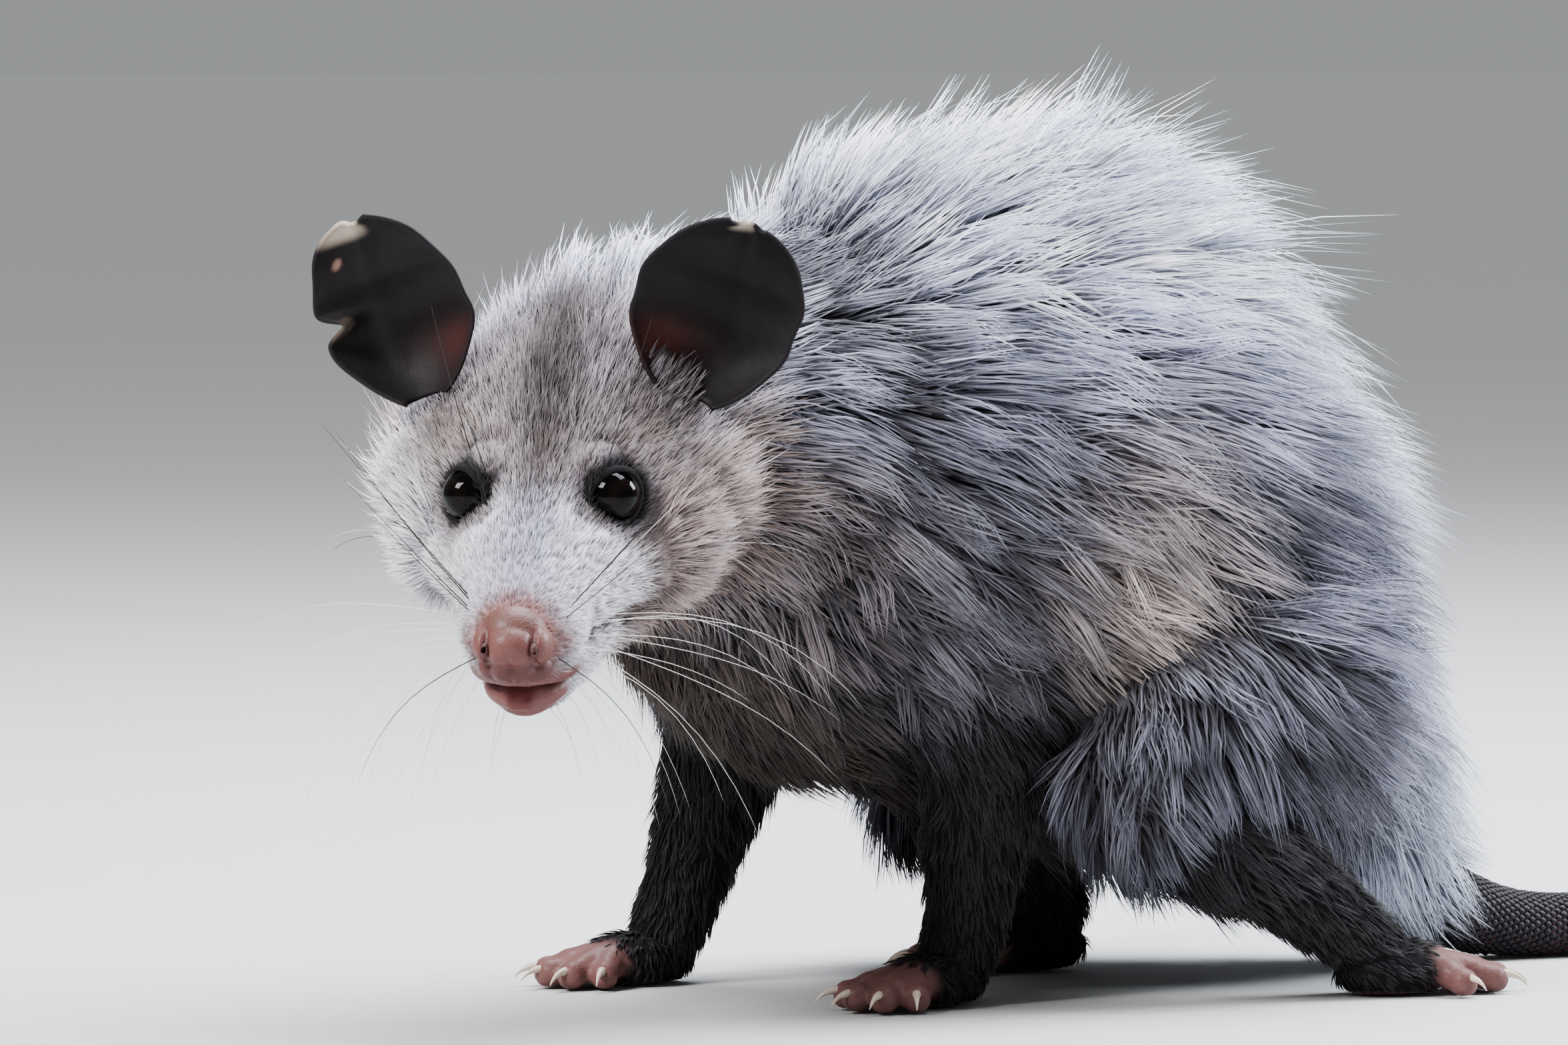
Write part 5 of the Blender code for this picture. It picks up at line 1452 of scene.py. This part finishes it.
scales = set_on_points(
    "tail_scales", places, facing, tail.way(shares),
    rng.uniform(0.85, 1.1, len(places)) * np.interp(shares, (0.1, 1.0), (1.0, 0.62)),
    flat_scale, {"Scale size": SCALE_PITCH, "Material": scale_material},
)
keep_above(scales, SCALE_FLOOR)
scale_places = vertices(scales)
paint(scales, "skin_tint", bare_parts(scale_places, survey(scale_places))[1])
dress(scales, scale_material, "tail_dark")

# Studio. A plain pale floor and sky, soft boxes of light, and the photo's own view: from
# the animal's left front, low down, through a long lens.
VIEW_AZIMUTH, VIEW_ELEVATION, VIEW_DISTANCE, VIEW_LENS = -28.0, 3.0, 2.3, 207.0
VIEW_TARGET = np.array((-5.4, 2.86, 11.78)) * CM + DRAWN_TO_MODEL
LIGHT_TARGET = (-0.05, 0.0, 0.12)
# Azimuth, elevation, distance, size, watts and colour of each light
LIGHTS = {
    "key": (-80.0, 36.0, 1.7, 0.55, 58.0, (1.0, 0.98, 0.97)),
    "overhead": (130.0, 72.0, 1.5, 1.2, 112.0, (0.90, 0.94, 1.0)),
    "edge": (82.0, 30.0, 1.9, 0.8, 96.0, (0.90, 0.95, 1.0)),
}
SKY_COLOUR, SKY_STRENGTH, FLOOR_SHADE = (0.76, 0.79, 0.80), 0.42, 0.45
FLOOR_HALF, FLOOR_LEVEL = 80.0, -0.0003

floor_mesh = bpy.data.meshes.new("studio_floor")
corners = [(-1, -1), (1, -1), (1, 1), (-1, 1)]
floor_mesh.from_pydata(
    [(x * FLOOR_HALF, y * FLOOR_HALF, FLOOR_LEVEL) for x, y in corners], [], [(0, 1, 2, 3)]
)
floor = placed("studio_floor", floor_mesh)
floor_material, draw = new_material("pale floor", Emission_Strength=1.0)
grit = draw.noise(90.0, 4.0)
reach = draw.node("ShaderNodeVectorMath", {0: draw.place()}, "Value", operation="LENGTH")
far = draw.node(
    "ShaderNodeMapRange", {"Value": reach, "From Min": 0.5, "From Max": 4.0},
    interpolation_type="SMOOTHSTEP",
)
# Far out the floor glows with painted light as bright as the sky, so floor and sky meet without a line.
far_floor_glow = [(1 - FLOOR_SHADE) * SKY_STRENGTH * part for part in SKY_COLOUR]
drive(
    floor_material,
    Base_Color=draw.blend(grit, [FLOOR_SHADE * 0.95] * 3, [FLOOR_SHADE * 1.05] * 3),
    Roughness=0.8 + grit * 0.1,
    Emission_Color=draw.blend(far, (0.0, 0.0, 0.0), far_floor_glow),
)
floor.data.materials.append(floor_material)
floor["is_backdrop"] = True

world = bpy.data.worlds.new("studio sky")
bpy.context.scene.world = world
world.use_nodes = True
world.node_tree.nodes["Background"].inputs["Color"].default_value = (*SKY_COLOUR, 1.0)
world.node_tree.nodes["Background"].inputs["Strength"].default_value = SKY_STRENGTH


def looking(name, data, target, azimuth, elevation, distance):
    """A light or camera that looks at a target from an azimuth and elevation in degrees."""
    a, e = math.radians(azimuth), math.radians(elevation)
    back = Vector((math.sin(a) * math.cos(e), -math.cos(a) * math.cos(e), math.sin(e)))
    made = placed(name, data)
    made.location = Vector(target) + back * distance
    made.rotation_euler = back.to_track_quat("Z", "Y").to_euler()
    return made


for name, (azimuth, elevation, distance, size, watts, colour) in LIGHTS.items():
    lamp = bpy.data.lights.new(name, "AREA")
    lamp.size = size
    lamp.energy = watts
    lamp.color = colour
    looking(name, lamp, LIGHT_TARGET, azimuth, elevation, distance)

lens = bpy.data.cameras.new("camera")
lens.lens = VIEW_LENS
lens.sensor_width = 36.0
lens.clip_start = 0.05
bpy.context.scene.camera = looking(
    "camera", lens, VIEW_TARGET.tolist(), VIEW_AZIMUTH, VIEW_ELEVATION, VIEW_DISTANCE
)

for corners in (cad_box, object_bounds()):
    json.dumps([list(corner) for corner in corners]) + "\n"
